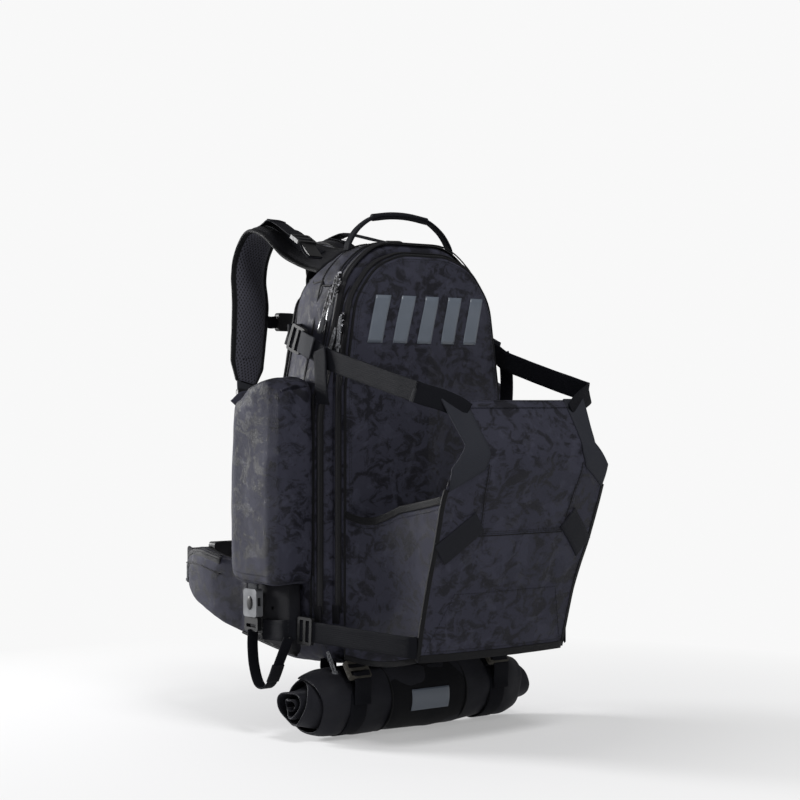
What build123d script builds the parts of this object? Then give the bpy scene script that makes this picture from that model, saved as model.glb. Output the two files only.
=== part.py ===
"""Trail-work backpack with a let-out front carrier flap, in millimetres.

Working frame: x runs to the right as seen from the front, y runs towards the wearer, z is up.
y = 0 is the face of the front compartment and z = 0 is the underside of the tool roll.
At the end every node is moved so that the origin is the bottom centre of the whole object.
"""
from build123d import *
import os

# ---- driving dimensions -------------------------------------------------------------
BAG_LOW = 88            # underside of the main compartment
BAG_TOP = 600           # crown of the main compartment
BAG_HALF = 142          # half width of the main compartment
SHOULDER_Z = 390        # its sides lean in above this
CROWN_Z = 560           # and have come in by CROWN_IN here
CROWN_IN = 36
BAG_FRONT = 18          # front wall of the main compartment
BAG_BACK = 165          # rear wall of the main compartment
FRONT_HALF = 127        # half width of the front compartment
FRONT_TOP = 587
FRONT_LEAN = ((0, 420), (16, 530))   # where its sides lean in: how far, at what height
FABRIC = 2.5            # wall of a fabric shell with its lining
ZIP_LOW = 150           # both arched zips end here on each side
ZIP_PROUD = 1.6
POCKET_OUT = 195        # outer face of a side pocket
POCKET_Y = (36, 145)
POCKET_Z = (185, 424)
BACK_FACE = 174         # face of the back panel that carries the pads
PAD_FACE = 193
LUMBAR_FACE = 201
STRAP_WIDE = 62
STRAP_THICK = 13
STRAP_AXIS_Y = 182      # line about which both shoulder straps swing
STRAP_AXIS_Z = 590
LOOP_AXIS_Y = 46        # line about which the haul loop swings
LOOP_AXIS_Z = 594
FIN_AXIS_X = 146        # upright line about which a hip fin swings
FIN_AXIS_Y = 177
FIN_THICK = 17
BELT_Z = 193            # height of the hip belt webbing
BELT_Y = 333
BELT_END = 40           # each half of the open belt ends this far from the middle
STERNUM_Y = 258
STERNUM_Z = 510
ROLL_R = 42             # tool roll under the bag
ROLL_Y = 28
ROLL_HALF = 172
ROLL_STRAP_X = 112      # middle of each strap round the roll
WEB = 25                # compression webbing
WEB_THICK = 2
FLAP_THICK = 3
CLEAR = 0.4             # gap between pieces that move past each other
SIDES = ("left", "right")


# ---- general shapes -----------------------------------------------------------------
def upright(y):
    """Plane across the object at y, with local x along X and local y along Z, facing the front."""
    return Plane(origin=(0, y, 0), x_dir=(1, 0, 0), z_dir=(0, -1, 0))


def profile(x):
    """Plane along the object at x, with local x along Y and local y along Z, facing +X."""
    return Plane(origin=(x, 0, 0), x_dir=(0, 1, 0), z_dir=(1, 0, 0))


def face_of(points, radius=0.0):
    """Flat outline through the points, with every corner rounded."""
    face = make_face(Polyline(*points, close=True))
    return fillet(face.vertices(), radius) if radius else face


def across(points, y0, y1, radius=0.0):
    """Outline in X and Z, from y0 to y1."""
    return extrude(upright(y1) * face_of(points, radius), amount=y1 - y0)


def along(points, x0, x1, radius=0.0):
    """Outline in Y and Z, from x0 to x1."""
    return extrude(profile(x0) * face_of(points, radius), amount=x1 - x0)


def block(x, y, z):
    """Box between the limits given as pairs."""
    size = [pair[1] - pair[0] for pair in (x, y, z)]
    middle = [(pair[1] + pair[0]) / 2 for pair in (x, y, z)]
    return Pos(*middle) * Box(*size)


def mirrored(points):
    """An outline given by its right half, from the bottom up, closed with the left half."""
    return points + [(-x, z) for x, z in reversed(points)]


def on_side(part, side):
    """Parts are drawn on the left, at negative x."""
    return part if side == "left" else mirror(part, about=Plane.YZ)


def band(points, thickness, radius):
    """Outline of a strip of even thickness along straight runs joined by arcs."""
    return trace(FilletPolyline(*points, radius=radius), line_width=thickness)


def strip_plane(a, b, edge):
    """Plane halfway from a to b: local x along the strip, local y across its width."""
    start, end = Vector(*a), Vector(*b)
    run = (end - start).normalized()
    return Plane(origin=(start + end) / 2, x_dir=run, z_dir=run.cross(Vector(*edge)).normalized())


def strip(a, b, width, thickness=WEB_THICK, edge=(0, 0, 1)):
    """Straight run of webbing."""
    length = (Vector(*b) - Vector(*a)).length
    return strip_plane(a, b, edge) * Box(length, width, thickness)


def ladder_lock(wide):
    """Two-slot buckle: local x along the webbing, y across it."""
    length, thick, bar = 24, 5, 4
    frame = extrude(RectangleRounded(length, wide + 8, 3), amount=thick / 2, both=True)
    slot_long = (length - 3 * bar) / 2
    for place in (-1, 1):
        frame -= Pos(place * (slot_long + bar) / 2, 0, 0) * Box(slot_long, wide + 1, 2 * thick)
    return frame


def buckle_socket(length, wide, thick):
    """Female half of a side-release buckle: its mouth is at local x = 0 and it runs to -x."""
    wall = 2.2
    body = extrude(Pos(-length / 2, 0) * RectangleRounded(length, wide, 4), amount=thick / 2, both=True)
    deep = length - 7
    body -= Pos(-deep / 2, 0, 0) * Box(deep, wide - 2 * wall, thick - 2 * wall)
    for place in (-1, 1):
        body -= Pos(-length * 0.55, place * wide / 2, 0) * Box(length * 0.3, 3 * wall, thick - 2 * wall)
    return body


def buckle_plug(length, wide, thick):
    """Male half that fits the socket of the same sizes: a webbing bar and three prongs."""
    wall = 2.2
    inner_wide = wide - 2 * wall - 2 * CLEAR
    inner_thick = thick - 2 * wall - 2 * CLEAR
    reach = length - 7 - 2
    bar = length * 0.5
    base = extrude(Pos(CLEAR + bar / 2, 0) * RectangleRounded(bar, wide, 3), amount=thick * 0.32, both=True)
    base -= Pos(CLEAR + bar * 0.6, 0, 0) * Box(bar * 0.25, wide - 8, thick)
    for place in (-1, 0, 1):
        finger = 3.0 if place else 4.0
        across_y = place * (inner_wide - finger) / 2
        long = reach if place else reach * 0.7
        base += Pos((CLEAR + 1 - long) / 2 + 0.5, across_y, 0) * Box(long + 1 + CLEAR, finger, inner_thick)
    return base


# ---- the bag ------------------------------------------------------------------------
def bag_outline(grow=0.0):
    """Front view of the main compartment: straight sides under a long rounded crown."""
    half, low, top = BAG_HALF + grow, BAG_LOW - grow, BAG_TOP + grow
    right = [(half - 24, low), (half, low + 42), (half, SHOULDER_Z), (half - CROWN_IN, CROWN_Z)]
    return mirrored(right + [(half - 84, top)])


def front_outline(grow=0.0):
    """Front view of the front compartment."""
    half, top = FRONT_HALF + grow, FRONT_TOP + grow
    leaning = [(half - inset, z) for inset, z in FRONT_LEAN]
    right = [(half - 18, 98 - grow), (half, 132)] + leaning + [(half - 48, 572)]
    return mirrored(right + [(half - 90, top)])


def rear_wedges(grow=0.0):
    """What is cut from the bag's rear corners above the pockets, and from the rear of its crown."""
    low = SHOULDER_Z + 10 - grow
    half = BAG_HALF + 2
    behind, above = BAG_BACK + 25, BAG_TOP + 100
    plan = [(-half, 64 - grow), (-half, behind), (-84 + grow, behind)]
    lean = (CROWN_IN, 0, CROWN_Z - SHOULDER_Z)
    corner = extrude(Pos(0, 0, low) * face_of(plan), amount=above - SHOULDER_Z, dir=lean)
    slope = [(72 - grow, BAG_TOP + 2), (180, 552 - grow), (180, above), (72 - grow, above)]
    crown = along(slope, -BAG_HALF - 18, BAG_HALF + 18)
    return corner + mirror(corner, about=Plane.YZ) + crown


def main_compartment():
    outer = across(bag_outline(), BAG_FRONT, BAG_BACK, 45) - rear_wedges()
    inner = across(bag_outline(-FABRIC), BAG_FRONT + FABRIC, BAG_BACK - FABRIC, 43)
    return outer - (inner - rear_wedges(2 * FABRIC))


def front_compartment():
    back = BAG_FRONT - 0.1
    outer = across(front_outline(), 0, back, 30)
    outer = fillet(outer.faces().sort_by(Axis.Y)[0].edges(), 6)
    inner = across(front_outline(-FABRIC), FABRIC, back - FABRIC, 28)
    return outer - inner


def zip_chain(outline, y0, y1, radius):
    """Coil zip on its tape, up one side, over the crown and down the other side."""
    ring = across(outline(ZIP_PROUD), y0, y1, radius + ZIP_PROUD)
    ring -= across(outline(), y0 - 1, y1 + 1, radius)
    wide = 2 * BAG_HALF
    return ring & block((-wide, wide), (y0, y1), (ZIP_LOW, BAG_TOP + 50))


def inner_divider():
    return across(mirrored([(116, 104), (116, 380), (90, 400), (84, 430)]), 134, 136)


def frame_sheet():
    return across(mirrored([(100, 118), (100, 380), (56, 480), (50, 530)]), 154, 155.6, 12)


def frame_stays():
    stays = [block((x - 6, x + 6), (150.4, 153.4), (122, 528)) for x in (-40, 40)]
    return stays[0] + stays[1]


def back_panel():
    right = [(124, 100), (130, 200), (128, 340), (88, 424), (66, 540), (46, 556)]
    return across(mirrored(right), BAG_BACK + 0.1, BACK_FACE, 12)


def back_pads():
    pads = []
    for low, high, wide, narrow in ((236, 372, 112, 104), (382, 512, 88, 62)):
        for side in (-1, 1):
            outline = [(side * 18, low), (side * wide, low + 6), (side * narrow, high), (side * 18, high)]
            pads.append(across(outline, BACK_FACE + 0.1, PAD_FACE, 12))
    return Part() + pads


def lumbar_pad():
    right = [(96, 106), (118, 128), (118, 200), (80, 222)]
    return across(mirrored(right), BACK_FACE + 0.1, LUMBAR_FACE, 10)


def yoke():
    """Padded piece behind the top of the bag from which both shoulder straps rise."""
    outline = [(BACK_FACE + 0.1, 526), (189, 526), (190, 578), (186, 583), (BACK_FACE + 0.1, 583)]
    return along(outline, -64, 64, 2)


def side_pocket():
    """Bellows pocket, drawn on the left."""
    low, high = POCKET_Z
    x_in = -(BAG_HALF + 0.3)
    outline = [(POCKET_Y[0], low), (POCKET_Y[1], low + 8), (POCKET_Y[1], high - 22), (POCKET_Y[0], high)]
    outer = along(outline, -POCKET_OUT, x_in, 9)
    outer = fillet(outer.faces().sort_by(Axis.X)[0].edges(), 8)
    inset = [(POCKET_Y[0] + FABRIC, low + FABRIC), (POCKET_Y[1] - FABRIC, low + 8 + FABRIC)]
    inset += [(POCKET_Y[1] - FABRIC, high - 22 - FABRIC), (POCKET_Y[0] + FABRIC, high - FABRIC)]
    inner = along(inset, -POCKET_OUT + FABRIC, x_in - FABRIC, 6.5)
    return outer - inner


def belt_wing():
    """Padded panel sewn to the lower side of the bag, from which a hip fin leaves."""
    outline = [(60, 97), (FIN_AXIS_Y - 2, 116), (FIN_AXIS_Y - 2, 206), (147, 206), (147, 184), (60, 184)]
    return along(outline, -(BAG_HALF + 8), -(BAG_HALF + 0.3), 3)


def side_panel():
    """Plain padded panel under a side pocket."""
    outline = [(52, 121), (120, 121), (120, 182), (52, 182)]
    return along(outline, -(BAG_HALF + 26), -(BAG_HALF + 8.2), 6)


# ---- zip sliders --------------------------------------------------------------------
def zip_slider():
    """Slider body: local z away from the bag, local x along the zip."""
    return extrude(RectangleRounded(11, 7.5, 2.5), amount=2.6) + Pos(0, 0, 3.4) * Box(6, 2.4, 2)


def zip_pull(length):
    """Cord and grip hanging from a slider: local x runs down the pull, its eye is at x = 0."""
    cord = Pos(length * 0.3, 0, 0) * Rot(0, 90, 0) * Cylinder(1.5, length * 0.6)
    grip = Pos(length * 0.78, 0, 0) * Rot(0, 90, 0) * Cylinder(2.7, length * 0.44)
    return cord + grip


def zip_place(low, high, z, y, lift):
    """Plane on the sloping left side of an arched zip at height z, local x down along the slope.

    The slope runs between the points low and high, given for the right side."""
    (x_low, z_low), (x_high, z_high) = (-low[0], low[1]), (-high[0], high[1])
    down = Vector(x_low - x_high, 0, z_low - z_high).normalized()
    x = x_low + (x_high - x_low) * (z - z_low) / (z_high - z_low)
    out = Vector(0, 1, 0).cross(down).normalized()
    out = out if out.X < 0 else out * -1
    return Plane(origin=Vector(x, y, z) + out * lift, x_dir=down, z_dir=out)


MAIN_ZIP_Y = 27
FRONT_ZIP_Y = 11.5
MAIN_SLOPE = ((BAG_HALF, SHOULDER_Z), (BAG_HALF - CROWN_IN, CROWN_Z))
FRONT_SLOPE = tuple((FRONT_HALF - inset, z) for inset, z in FRONT_LEAN)
SLIDER_LIFT = ZIP_PROUD + 0.2
PULL_LIFT = SLIDER_LIFT + 7.6
SLIDERS = {               # slope of the zip, its y, the slider's z, the pull's y offset and length
    "main_low": (MAIN_SLOPE, MAIN_ZIP_Y, 541, 3.2, 48),
    "main_high": (MAIN_SLOPE, MAIN_ZIP_Y, 556, -3.2, 50),
    "front_low": (FRONT_SLOPE, FRONT_ZIP_Y, 492, 3.2, 32),
    "front_high": (FRONT_SLOPE, FRONT_ZIP_Y, 506, -3.2, 34),
}


def slider_plane(name):
    slope, y, z, _, _ = SLIDERS[name]
    return zip_place(*slope, z, y, SLIDER_LIFT)


def pull_plane(name):
    slope, y, z, aside, _ = SLIDERS[name]
    return zip_place(*slope, z, y + aside, PULL_LIFT)


# ---- shoulder harness ---------------------------------------------------------------
STRAP_ROUTE = [(STRAP_AXIS_Y + 4, STRAP_AXIS_Z + 1), (204, 612), (226, 629), (256, 628)]
STRAP_ROUTE += [(276, 604), (279, 570), (262, 520), (233, 428)]


def shoulder_strap():
    """Padded strap, drawn on the left: an arched band cut to its front outline."""
    wide = 200
    arch = extrude(profile(-wide) * band(STRAP_ROUTE, STRAP_THICK, 16), amount=wide)
    half = STRAP_WIDE / 2
    middle = [(-52, 660), (-57, 610), (-70, 537)]
    outer = [(x - half, z) for x, z in middle] + [(-74 - half, 505), (-126, 440), (-121, 424)]
    inner = [(-86, 418), (-74, 440), (-78 + half, 505)] + [(x + half, z) for x, z in reversed(middle)]
    return arch & across(outer + inner, 150, 330)


def strap_lock():
    """Ladder lock under a shoulder strap."""
    return strip_plane((-103, 231, 418), (-107, 226, 398), (1, 0, 0)) * ladder_lock(20)


def strap_webbing():
    """Adjusting webbing from a strap's ladder lock to the foot of the back panel."""
    return strip((-107.9, 224.6, 394.6), (-126, 180, 236), 20, edge=(1, 0, 0))


def load_lifter():
    """Webbing from the top of a strap to its ladder lock over the yoke."""
    return strip((-62, 222, 644), (-77, 154, 613.6), 20, edge=(1, 0, 0))


def lifter_lock():
    """Ladder lock of a load lifter and the tab that ties it to the bag."""
    lock = strip_plane((-77, 153, 614.5), (-79, 131, 603.5), (1, 0, 0)) * ladder_lock(20)
    return lock + strip((-79, 132, 602.5), (-81, 112, 586), 20, edge=(1, 0, 0))


SOCKET = (24, 24, 9)      # sternum buckle: length, width and thickness
BELT_SOCKET = (46, 50, 14)
BELT_PLUG_REACH = 37      # from the tips of the belt plug's prongs to its shoulder
SIDE_SOCKET = (34, 27, 10)
STERNUM_MOUTH = -10       # x of the sternum socket's mouth


def sternum_socket():
    return Pos(STERNUM_MOUTH, STERNUM_Y, STERNUM_Z) * Rot(90, 0, 0) * buckle_socket(*SOCKET)


def sternum_plug():
    return Pos(STERNUM_MOUTH, STERNUM_Y, STERNUM_Z) * Rot(90, 0, 0) * buckle_plug(*SOCKET)


def sternum_webbing(side):
    edge = 43.6
    near = STERNUM_MOUTH - SOCKET[0] if side == "left" else STERNUM_MOUTH + CLEAR + SOCKET[0] / 2
    x0, x1 = (-edge, near) if side == "left" else (near, edge)
    return block((x0 + 0.2, x1 - 0.1), (STERNUM_Y - 1, STERNUM_Y + 1), (STERNUM_Z - 8, STERNUM_Z + 8))


# ---- hip belt -----------------------------------------------------------------------
FIN_ROUTE = [(-FIN_AXIS_X, FIN_AXIS_Y + 1), (-155, 215), (-152, 262), (-132, 312)]


def hip_fin():
    """Padded hip fin, drawn on the left: an upright curved band cut to its side outline."""
    plan = extrude(Plane.XY * band(FIN_ROUTE, FIN_THICK, 30), amount=300)
    root = FIN_AXIS_Y + 1.5
    outline = [(root, 117), (262, 150), (306, 172), (318, 184), (318, 204), (306, 211)]
    outline += [(240, 219), (root, 207)]
    return plan & along(outline, -200, -90)


def belt_webbing(side):
    """Hip belt webbing from the fin's tip to its half of the buckle."""
    half = BELT_SOCKET[0] / 2
    reach = BELT_END + BELT_SOCKET[0] if side == "left" else BELT_END + BELT_PLUG_REACH + half
    route = [(-131, 322), (-122, BELT_Y - 3), (-reach - 2, BELT_Y)]
    plan = band(route, 2.6, 10)
    return on_side(extrude(Pos(0, 0, BELT_Z - 19) * plan, amount=38), side)


def belt_socket():
    return Pos(-BELT_END, BELT_Y, BELT_Z) * Rot(90, 0, 0) * buckle_socket(*BELT_SOCKET)


def belt_plug():
    """The belt's plug points to the socket, which is on the left half."""
    return Pos(BELT_END + BELT_PLUG_REACH, BELT_Y, BELT_Z) * Rot(90, 0, 0) * buckle_plug(*BELT_SOCKET)


def hip_pull():
    """Cord pull on the zip of a fin's pocket."""
    return Pos(-157, 284, 196) * Rot(0, 90, 0) * zip_pull(24)


# ---- carrier flap -------------------------------------------------------------------
FLAP_ROUTE = [(-161, 407), (-193, 350), (-191, 320), (-162, 240), (-122, 104)]
FLAP_RIGHT = [(116, 106), (123, 240), (126, 293), (124, 325), (103, 354), (80, 406)]


def flap_shell(proud):
    """Curved sheet that follows the flap, with its front face moved out by proud."""
    route = [(y - proud, z) for y, z in FLAP_ROUTE]
    return extrude(profile(-200) * band(route, FLAP_THICK if proud == 0 else 1.6, 30), amount=400)


def carrier_flap():
    return flap_shell(0) & across(mirrored(FLAP_RIGHT), -260, -60)


def flap_webbing():
    """Webbing sewn along both upper edges of the flap, from the strap folds to the widest point."""
    outline = [(79, 398), (112, 402), (103, 354), (124, 328), (122, 304), (78, 330), (74, 345)]
    shell = flap_shell(3.1)
    right = shell & across(outline, -260, -60)
    return right + mirror(right, about=Plane.YZ)


def flap_tabs():
    """Short diagonal webbing tabs on the lower half of the flap."""
    outline = [(64, 254), (78, 272), (119, 240), (110, 216)]
    right = flap_shell(3.1) & across(outline, -260, -60)
    return right + mirror(right, about=Plane.YZ)


FOLD = (-137, -148, 416)              # where an upper strap turns down onto the flap
UPPER_LOCK = ((-151, 71, 485), (-149, 49, 476))
STRAP_BEND = (-146, 6, 456)          # where an upper strap crosses the edge of the front compartment
LOWER_LOCK = ((-157, 47, 131), (-154, 24, 130))


def upper_strap():
    run = strip((-148.9, 47.6, 475.4), STRAP_BEND, WEB) + strip(STRAP_BEND, FOLD, WEB)
    corner = strip((-137, -147.5, 416), (-116, -158, 408), WEB)
    return run + corner


def lower_strap():
    return strip((-153.4, 22, 130), (-126.5, -124, 123), WEB)


def locks():
    """The four ladder locks of the flap's straps."""
    nodes = []
    for a, b in (UPPER_LOCK, LOWER_LOCK):
        lock = strip_plane(a, b, (0, 0, 1)) * ladder_lock(WEB)
        nodes += [lock, mirror(lock, about=Plane.YZ)]
    return Part() + nodes


def anchor_tabs():
    """Webbing tabs that tie the ladder locks to the sides of the bag."""
    nodes = []
    upper = strip((-113, 98, 488), (-151.6, 76, 487), WEB)
    lower = strip((-151.5, 50.8, 131), (-156.8, 49.5, 131), WEB)
    for tab in (upper, lower):
        nodes += [tab, mirror(tab, about=Plane.YZ)]
    return Part() + nodes


def gusset():
    """Side wall between the front compartment and the flap, drawn on the left."""
    slant = Vector(4, -180, 0).normalized()
    plane = Plane(origin=(-125, -0.5, 0), x_dir=slant, z_dir=slant.cross(Vector(0, 0, 1)))
    outline = [(0, 100), (117, 98), (135, 179), (156, 240), (172, 292), (90, 278), (0, 272)]
    return extrude(plane * face_of(outline), amount=WEB_THICK)


# ---- haul loop, tool roll and side loop ---------------------------------------------
LOOP_ROUTE = [(-86, LOOP_AXIS_Z - 2), (-72, 616), (-42, 636), (42, 636), (72, 616), (86, LOOP_AXIS_Z - 2)]


def haul_loop():
    face = band(LOOP_ROUTE, 4, 18)
    return extrude(upright(LOOP_AXIS_Y + 6) * face, amount=12)


def drum(radius, x0, x1):
    """Round bar along X on the tool roll's axis."""
    return Pos((x0 + x1) / 2, ROLL_Y, ROLL_R + 2) * Rot(0, 90, 0) * Cylinder(radius, x1 - x0)


def tool_roll():
    """Rolled tool wrap with its narrower core showing at both ends."""
    return drum(ROLL_R - 2, -ROLL_HALF, ROLL_HALF) + drum(25, -ROLL_HALF - 15, ROLL_HALF + 15)


def roll_band():
    return drum(ROLL_R - 0.2, -62, 62) - drum(ROLL_R - 1.8, -63, 63)


def roll_straps():
    """Two straps round the tool roll, each with a tab up to the bag."""
    straps = []
    for x in (-ROLL_STRAP_X, ROLL_STRAP_X):
        x0, x1 = x - WEB / 2, x + WEB / 2
        tab = block((x0, x1), (34, 60), (80, BAG_LOW))
        straps.append(drum(ROLL_R, x0, x1) + tab - drum(ROLL_R - 1.9, x0 - 0.5, x1 + 0.5))
    return Part() + straps


def roll_locks():
    """Ladder locks on the front of the roll's straps."""
    nodes = []
    for x in (-ROLL_STRAP_X, ROLL_STRAP_X):
        lock = strip_plane((x, -14, 78), (x, -4, 92), (1, 0, 0)) * ladder_lock(WEB)
        nodes.append(lock)
    return Part() + nodes


LOOP_STRAP_WIDE = 16
SIDE_X = -(BAG_HALF + 34.8)
SIDE_MOUTH = Plane(origin=(SIDE_X, 113, 143), x_dir=(0, 0, -1), z_dir=(-1, 0, 0))
HANG_ROUTE = [(113, 124), (116, 96), (103, 62), (80, 60), (62, 86), (56, 119)]


def side_socket():
    return SIDE_MOUTH * buckle_socket(*SIDE_SOCKET)


def side_plug():
    return SIDE_MOUTH * buckle_plug(*SIDE_SOCKET)


def hanging_loop():
    """Loop of narrow webbing between the grey buckle and the lower strap's tab."""
    half = LOOP_STRAP_WIDE / 2
    return extrude(profile(SIDE_X - half) * band(HANG_ROUTE, 2, 12), amount=2 * half)


def reflective_mark():
    """Five plain slanted bars on the front compartment."""
    bars = []
    for x in (-76, -38, 0, 38, 76):
        bars.append(across([(x - 18, 476), (x + 4, 476), (x + 18, 534), (x - 4, 534)], -0.8, -0.1))
    return Part() + bars


# ---- assembly -----------------------------------------------------------------------
def build():
    nodes = {
        "main_compartment": main_compartment(),
        "front_compartment": front_compartment(),
        "inner_divider": inner_divider(),
        "frame_sheet": frame_sheet(),
        "frame_stays": frame_stays(),
        "back_panel": back_panel(),
        "back_pads": back_pads(),
        "lumbar_pad": lumbar_pad(),
        "yoke": yoke(),
        "main_zip_chain": zip_chain(bag_outline, MAIN_ZIP_Y - 5, MAIN_ZIP_Y + 5, 45),
        "front_zip_chain": zip_chain(front_outline, FRONT_ZIP_Y - 4, FRONT_ZIP_Y + 4, 30),
        "flap_ladder_locks": locks(),
        "flap_anchor_tabs": anchor_tabs(),
        "tool_roll": tool_roll(),
        "roll_band": roll_band(),
        "roll_straps": roll_straps(),
        "roll_ladder_locks": roll_locks(),
        "reflective_mark": reflective_mark(),
        "carrier_flap": carrier_flap(),
        "flap_webbing": flap_webbing(),
        "flap_tabs": flap_tabs(),
        "haul_loop": haul_loop(),
        "sternum_socket": sternum_socket(),
        "sternum_plug": sternum_plug(),
        "hip_belt_socket": belt_socket(),
        "hip_belt_plug": belt_plug(),
        "side_socket": side_socket(),
        "side_plug": side_plug(),
        "hanging_loop": hanging_loop(),
    }
    pairs = {
        "belt_wings": belt_wing,
        "lower_side_panels": side_panel,
        "strap_webbings": strap_webbing,
        "load_lifters": load_lifter,
        "lifter_locks": lifter_lock,
        "upper_straps": upper_strap,
        "lower_straps": lower_strap,
        "gussets": gusset,
    }
    for name, make in pairs.items():
        nodes[name] = Part() + [on_side(make(), side) for side in SIDES]
    for side in SIDES:
        nodes[f"side_pocket_{side}"] = on_side(side_pocket(), side)
        nodes[f"shoulder_strap_{side}"] = on_side(shoulder_strap(), side)
        nodes[f"strap_ladder_lock_{side}"] = on_side(strap_lock(), side)
        nodes[f"sternum_webbing_{side}"] = sternum_webbing(side)
        nodes[f"hip_fin_{side}"] = on_side(hip_fin(), side)
        nodes[f"hip_webbing_{side}"] = belt_webbing(side)
        nodes[f"hip_zip_pull_{side}"] = on_side(hip_pull(), side)
    for name in SLIDERS:
        nodes[f"{name}_slider"] = slider_plane(name) * zip_slider()
        nodes[f"{name}_pull"] = pull_plane(name) * zip_pull(SLIDERS[name][-1])
    return nodes


nodes = build()
bounds = Compound(children=[Compound(children=part.solids()) for part in nodes.values()]).bounding_box()
shift = Vector(-(bounds.min.X + bounds.max.X) / 2, -(bounds.min.Y + bounds.max.Y) / 2, -bounds.min.Z)

os.makedirs("parts", exist_ok=True)
for name, part in nodes.items():
    solids = [solid.moved(Location(shift)) for solid in part.solids()]
    export_step(solids[0] if len(solids) == 1 else Compound(children=solids), f"parts/{name}.step")
print("nodes", len(nodes), "size", bounds.size, "shift", shift)
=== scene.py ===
"""Looks of a trail-work backpack with a let-out front flap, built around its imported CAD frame.

Shapes are written in the working frame, in millimetres: x to the right as seen from the flap side,
y towards the wearer with 0 at the face of the front compartment, z up with 0 under the tool roll.
"left" is the side at negative x. Surfaces are grids of points, with UVs in metres along the cloth.
"""
import math

import bmesh
import bpy
import numpy as np
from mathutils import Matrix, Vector, noise


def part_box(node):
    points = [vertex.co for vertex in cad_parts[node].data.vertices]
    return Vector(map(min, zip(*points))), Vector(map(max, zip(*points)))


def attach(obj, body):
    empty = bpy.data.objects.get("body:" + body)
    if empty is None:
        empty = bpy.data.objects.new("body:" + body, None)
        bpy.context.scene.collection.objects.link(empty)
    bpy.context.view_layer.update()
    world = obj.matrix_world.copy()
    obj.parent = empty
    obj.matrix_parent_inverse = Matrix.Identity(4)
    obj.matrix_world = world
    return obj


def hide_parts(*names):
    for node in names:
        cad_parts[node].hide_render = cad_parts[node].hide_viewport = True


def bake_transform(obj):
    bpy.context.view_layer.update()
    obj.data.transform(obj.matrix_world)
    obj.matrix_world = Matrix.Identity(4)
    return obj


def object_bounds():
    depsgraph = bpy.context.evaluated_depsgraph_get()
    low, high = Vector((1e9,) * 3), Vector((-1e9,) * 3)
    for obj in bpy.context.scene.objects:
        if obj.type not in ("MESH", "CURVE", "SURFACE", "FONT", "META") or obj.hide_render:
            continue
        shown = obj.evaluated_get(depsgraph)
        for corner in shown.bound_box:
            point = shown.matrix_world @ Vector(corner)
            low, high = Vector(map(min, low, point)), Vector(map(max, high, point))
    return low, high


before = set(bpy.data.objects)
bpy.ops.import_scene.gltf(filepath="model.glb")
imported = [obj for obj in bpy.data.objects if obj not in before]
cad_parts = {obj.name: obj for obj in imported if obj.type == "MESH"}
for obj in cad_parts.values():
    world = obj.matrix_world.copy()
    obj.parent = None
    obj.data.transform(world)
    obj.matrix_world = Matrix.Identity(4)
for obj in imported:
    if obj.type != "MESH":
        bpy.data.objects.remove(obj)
cad_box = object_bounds()

BAG_LOW = 88
Y_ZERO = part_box("front_compartment")[0][1] * 1000
Z_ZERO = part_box("main_compartment")[0][2] * 1000 - BAG_LOW
SIDES = {"left": -1, "right": 1}


# ---- points and lines -----------------------------------------------------------------
def to_frame(points):
    """Working millimetres to the frame's metres."""
    return (np.asarray(points, float) + (0, Y_ZERO, Z_ZERO)) / 1000


def unit(v):
    v = np.asarray(v, float)
    return v / np.maximum(np.linalg.norm(v, axis=-1, keepdims=True), 1e-9)


def smooth(a, b, x):
    """0 below a, 1 above b, and a smooth step between."""
    t = np.clip((np.asarray(x, float) - a) / (b - a), 0, 1)
    return t * t * (3 - 2 * t)


def resample(points, n, closed=False):
    """Evenly spaced points along a polyline."""
    p = np.asarray(points, float)
    if closed:
        p = np.vstack([p, p[:1]])
    run = np.r_[0, np.cumsum(np.linalg.norm(np.diff(p, axis=0), axis=1))]
    at = np.linspace(0, run[-1], n + 1)[:-1] if closed else np.linspace(0, run[-1], n)
    return np.column_stack([np.interp(at, run, p[:, k]) for k in range(p.shape[1])])


def curve(points, n=60):
    """Smooth open line through the points, evenly spaced."""
    p = np.asarray(points, float)
    if len(p) == 2:
        return resample(p, n)
    p = np.vstack([2 * p[0] - p[1], p, 2 * p[-1] - p[-2]])
    t = np.linspace(0, 1, 13)[:, None]
    line = []
    for a, b, c, d in zip(p, p[1:], p[2:], p[3:]):
        cubic = 3 * b - a - 3 * c + d
        line.append(0.5 * (2 * b + (c - a) * t + (2 * a - 5 * b + 4 * c - d) * t**2 + cubic * t**3))
    return resample(np.vstack(line), n)


def rounded(points, radius, n=160):
    """Outline with softened corners, evenly spaced."""
    p = [np.asarray(q, float) for q in points]
    count = len(p)
    line = []
    for i, q in enumerate(p):
        a, b = p[i - 1] - q, p[(i + 1) % count] - q
        turn = math.acos(float(np.clip(unit(a) @ unit(b), -1, 1)))
        cut = min(radius / math.tan(turn / 2), 0.47 * np.linalg.norm(a), 0.47 * np.linalg.norm(b))
        for t in np.linspace(0, 1, 9):
            line.append(q + unit(a) * cut * (1 - t) ** 2 + unit(b) * cut * t**2)
    return resample(line, n, True)


def outward(outline):
    """Normals of a closed outline drawn anticlockwise."""
    run = np.roll(outline, -1, 0) - np.roll(outline, 1, 0)
    return unit(np.column_stack([run[:, 1], -run[:, 0]]))


def symmetric(right):
    """A closed outline from its right half, bottom to top."""
    return list(right) + [(-x, z) for x, z in reversed(right)]


def flip(points, side):
    """Points drawn for the left side, moved to the named side."""
    return np.asarray(points, float) * ((1, 1, 1) if side == "left" else (-1, 1, 1))


def at_depth(flat, y):
    """A flat outline of (x, z) set at a depth y, one for all or one for each point."""
    return np.column_stack([flat[:, 0], np.broadcast_to(y, len(flat)), flat[:, 1]])


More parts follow.
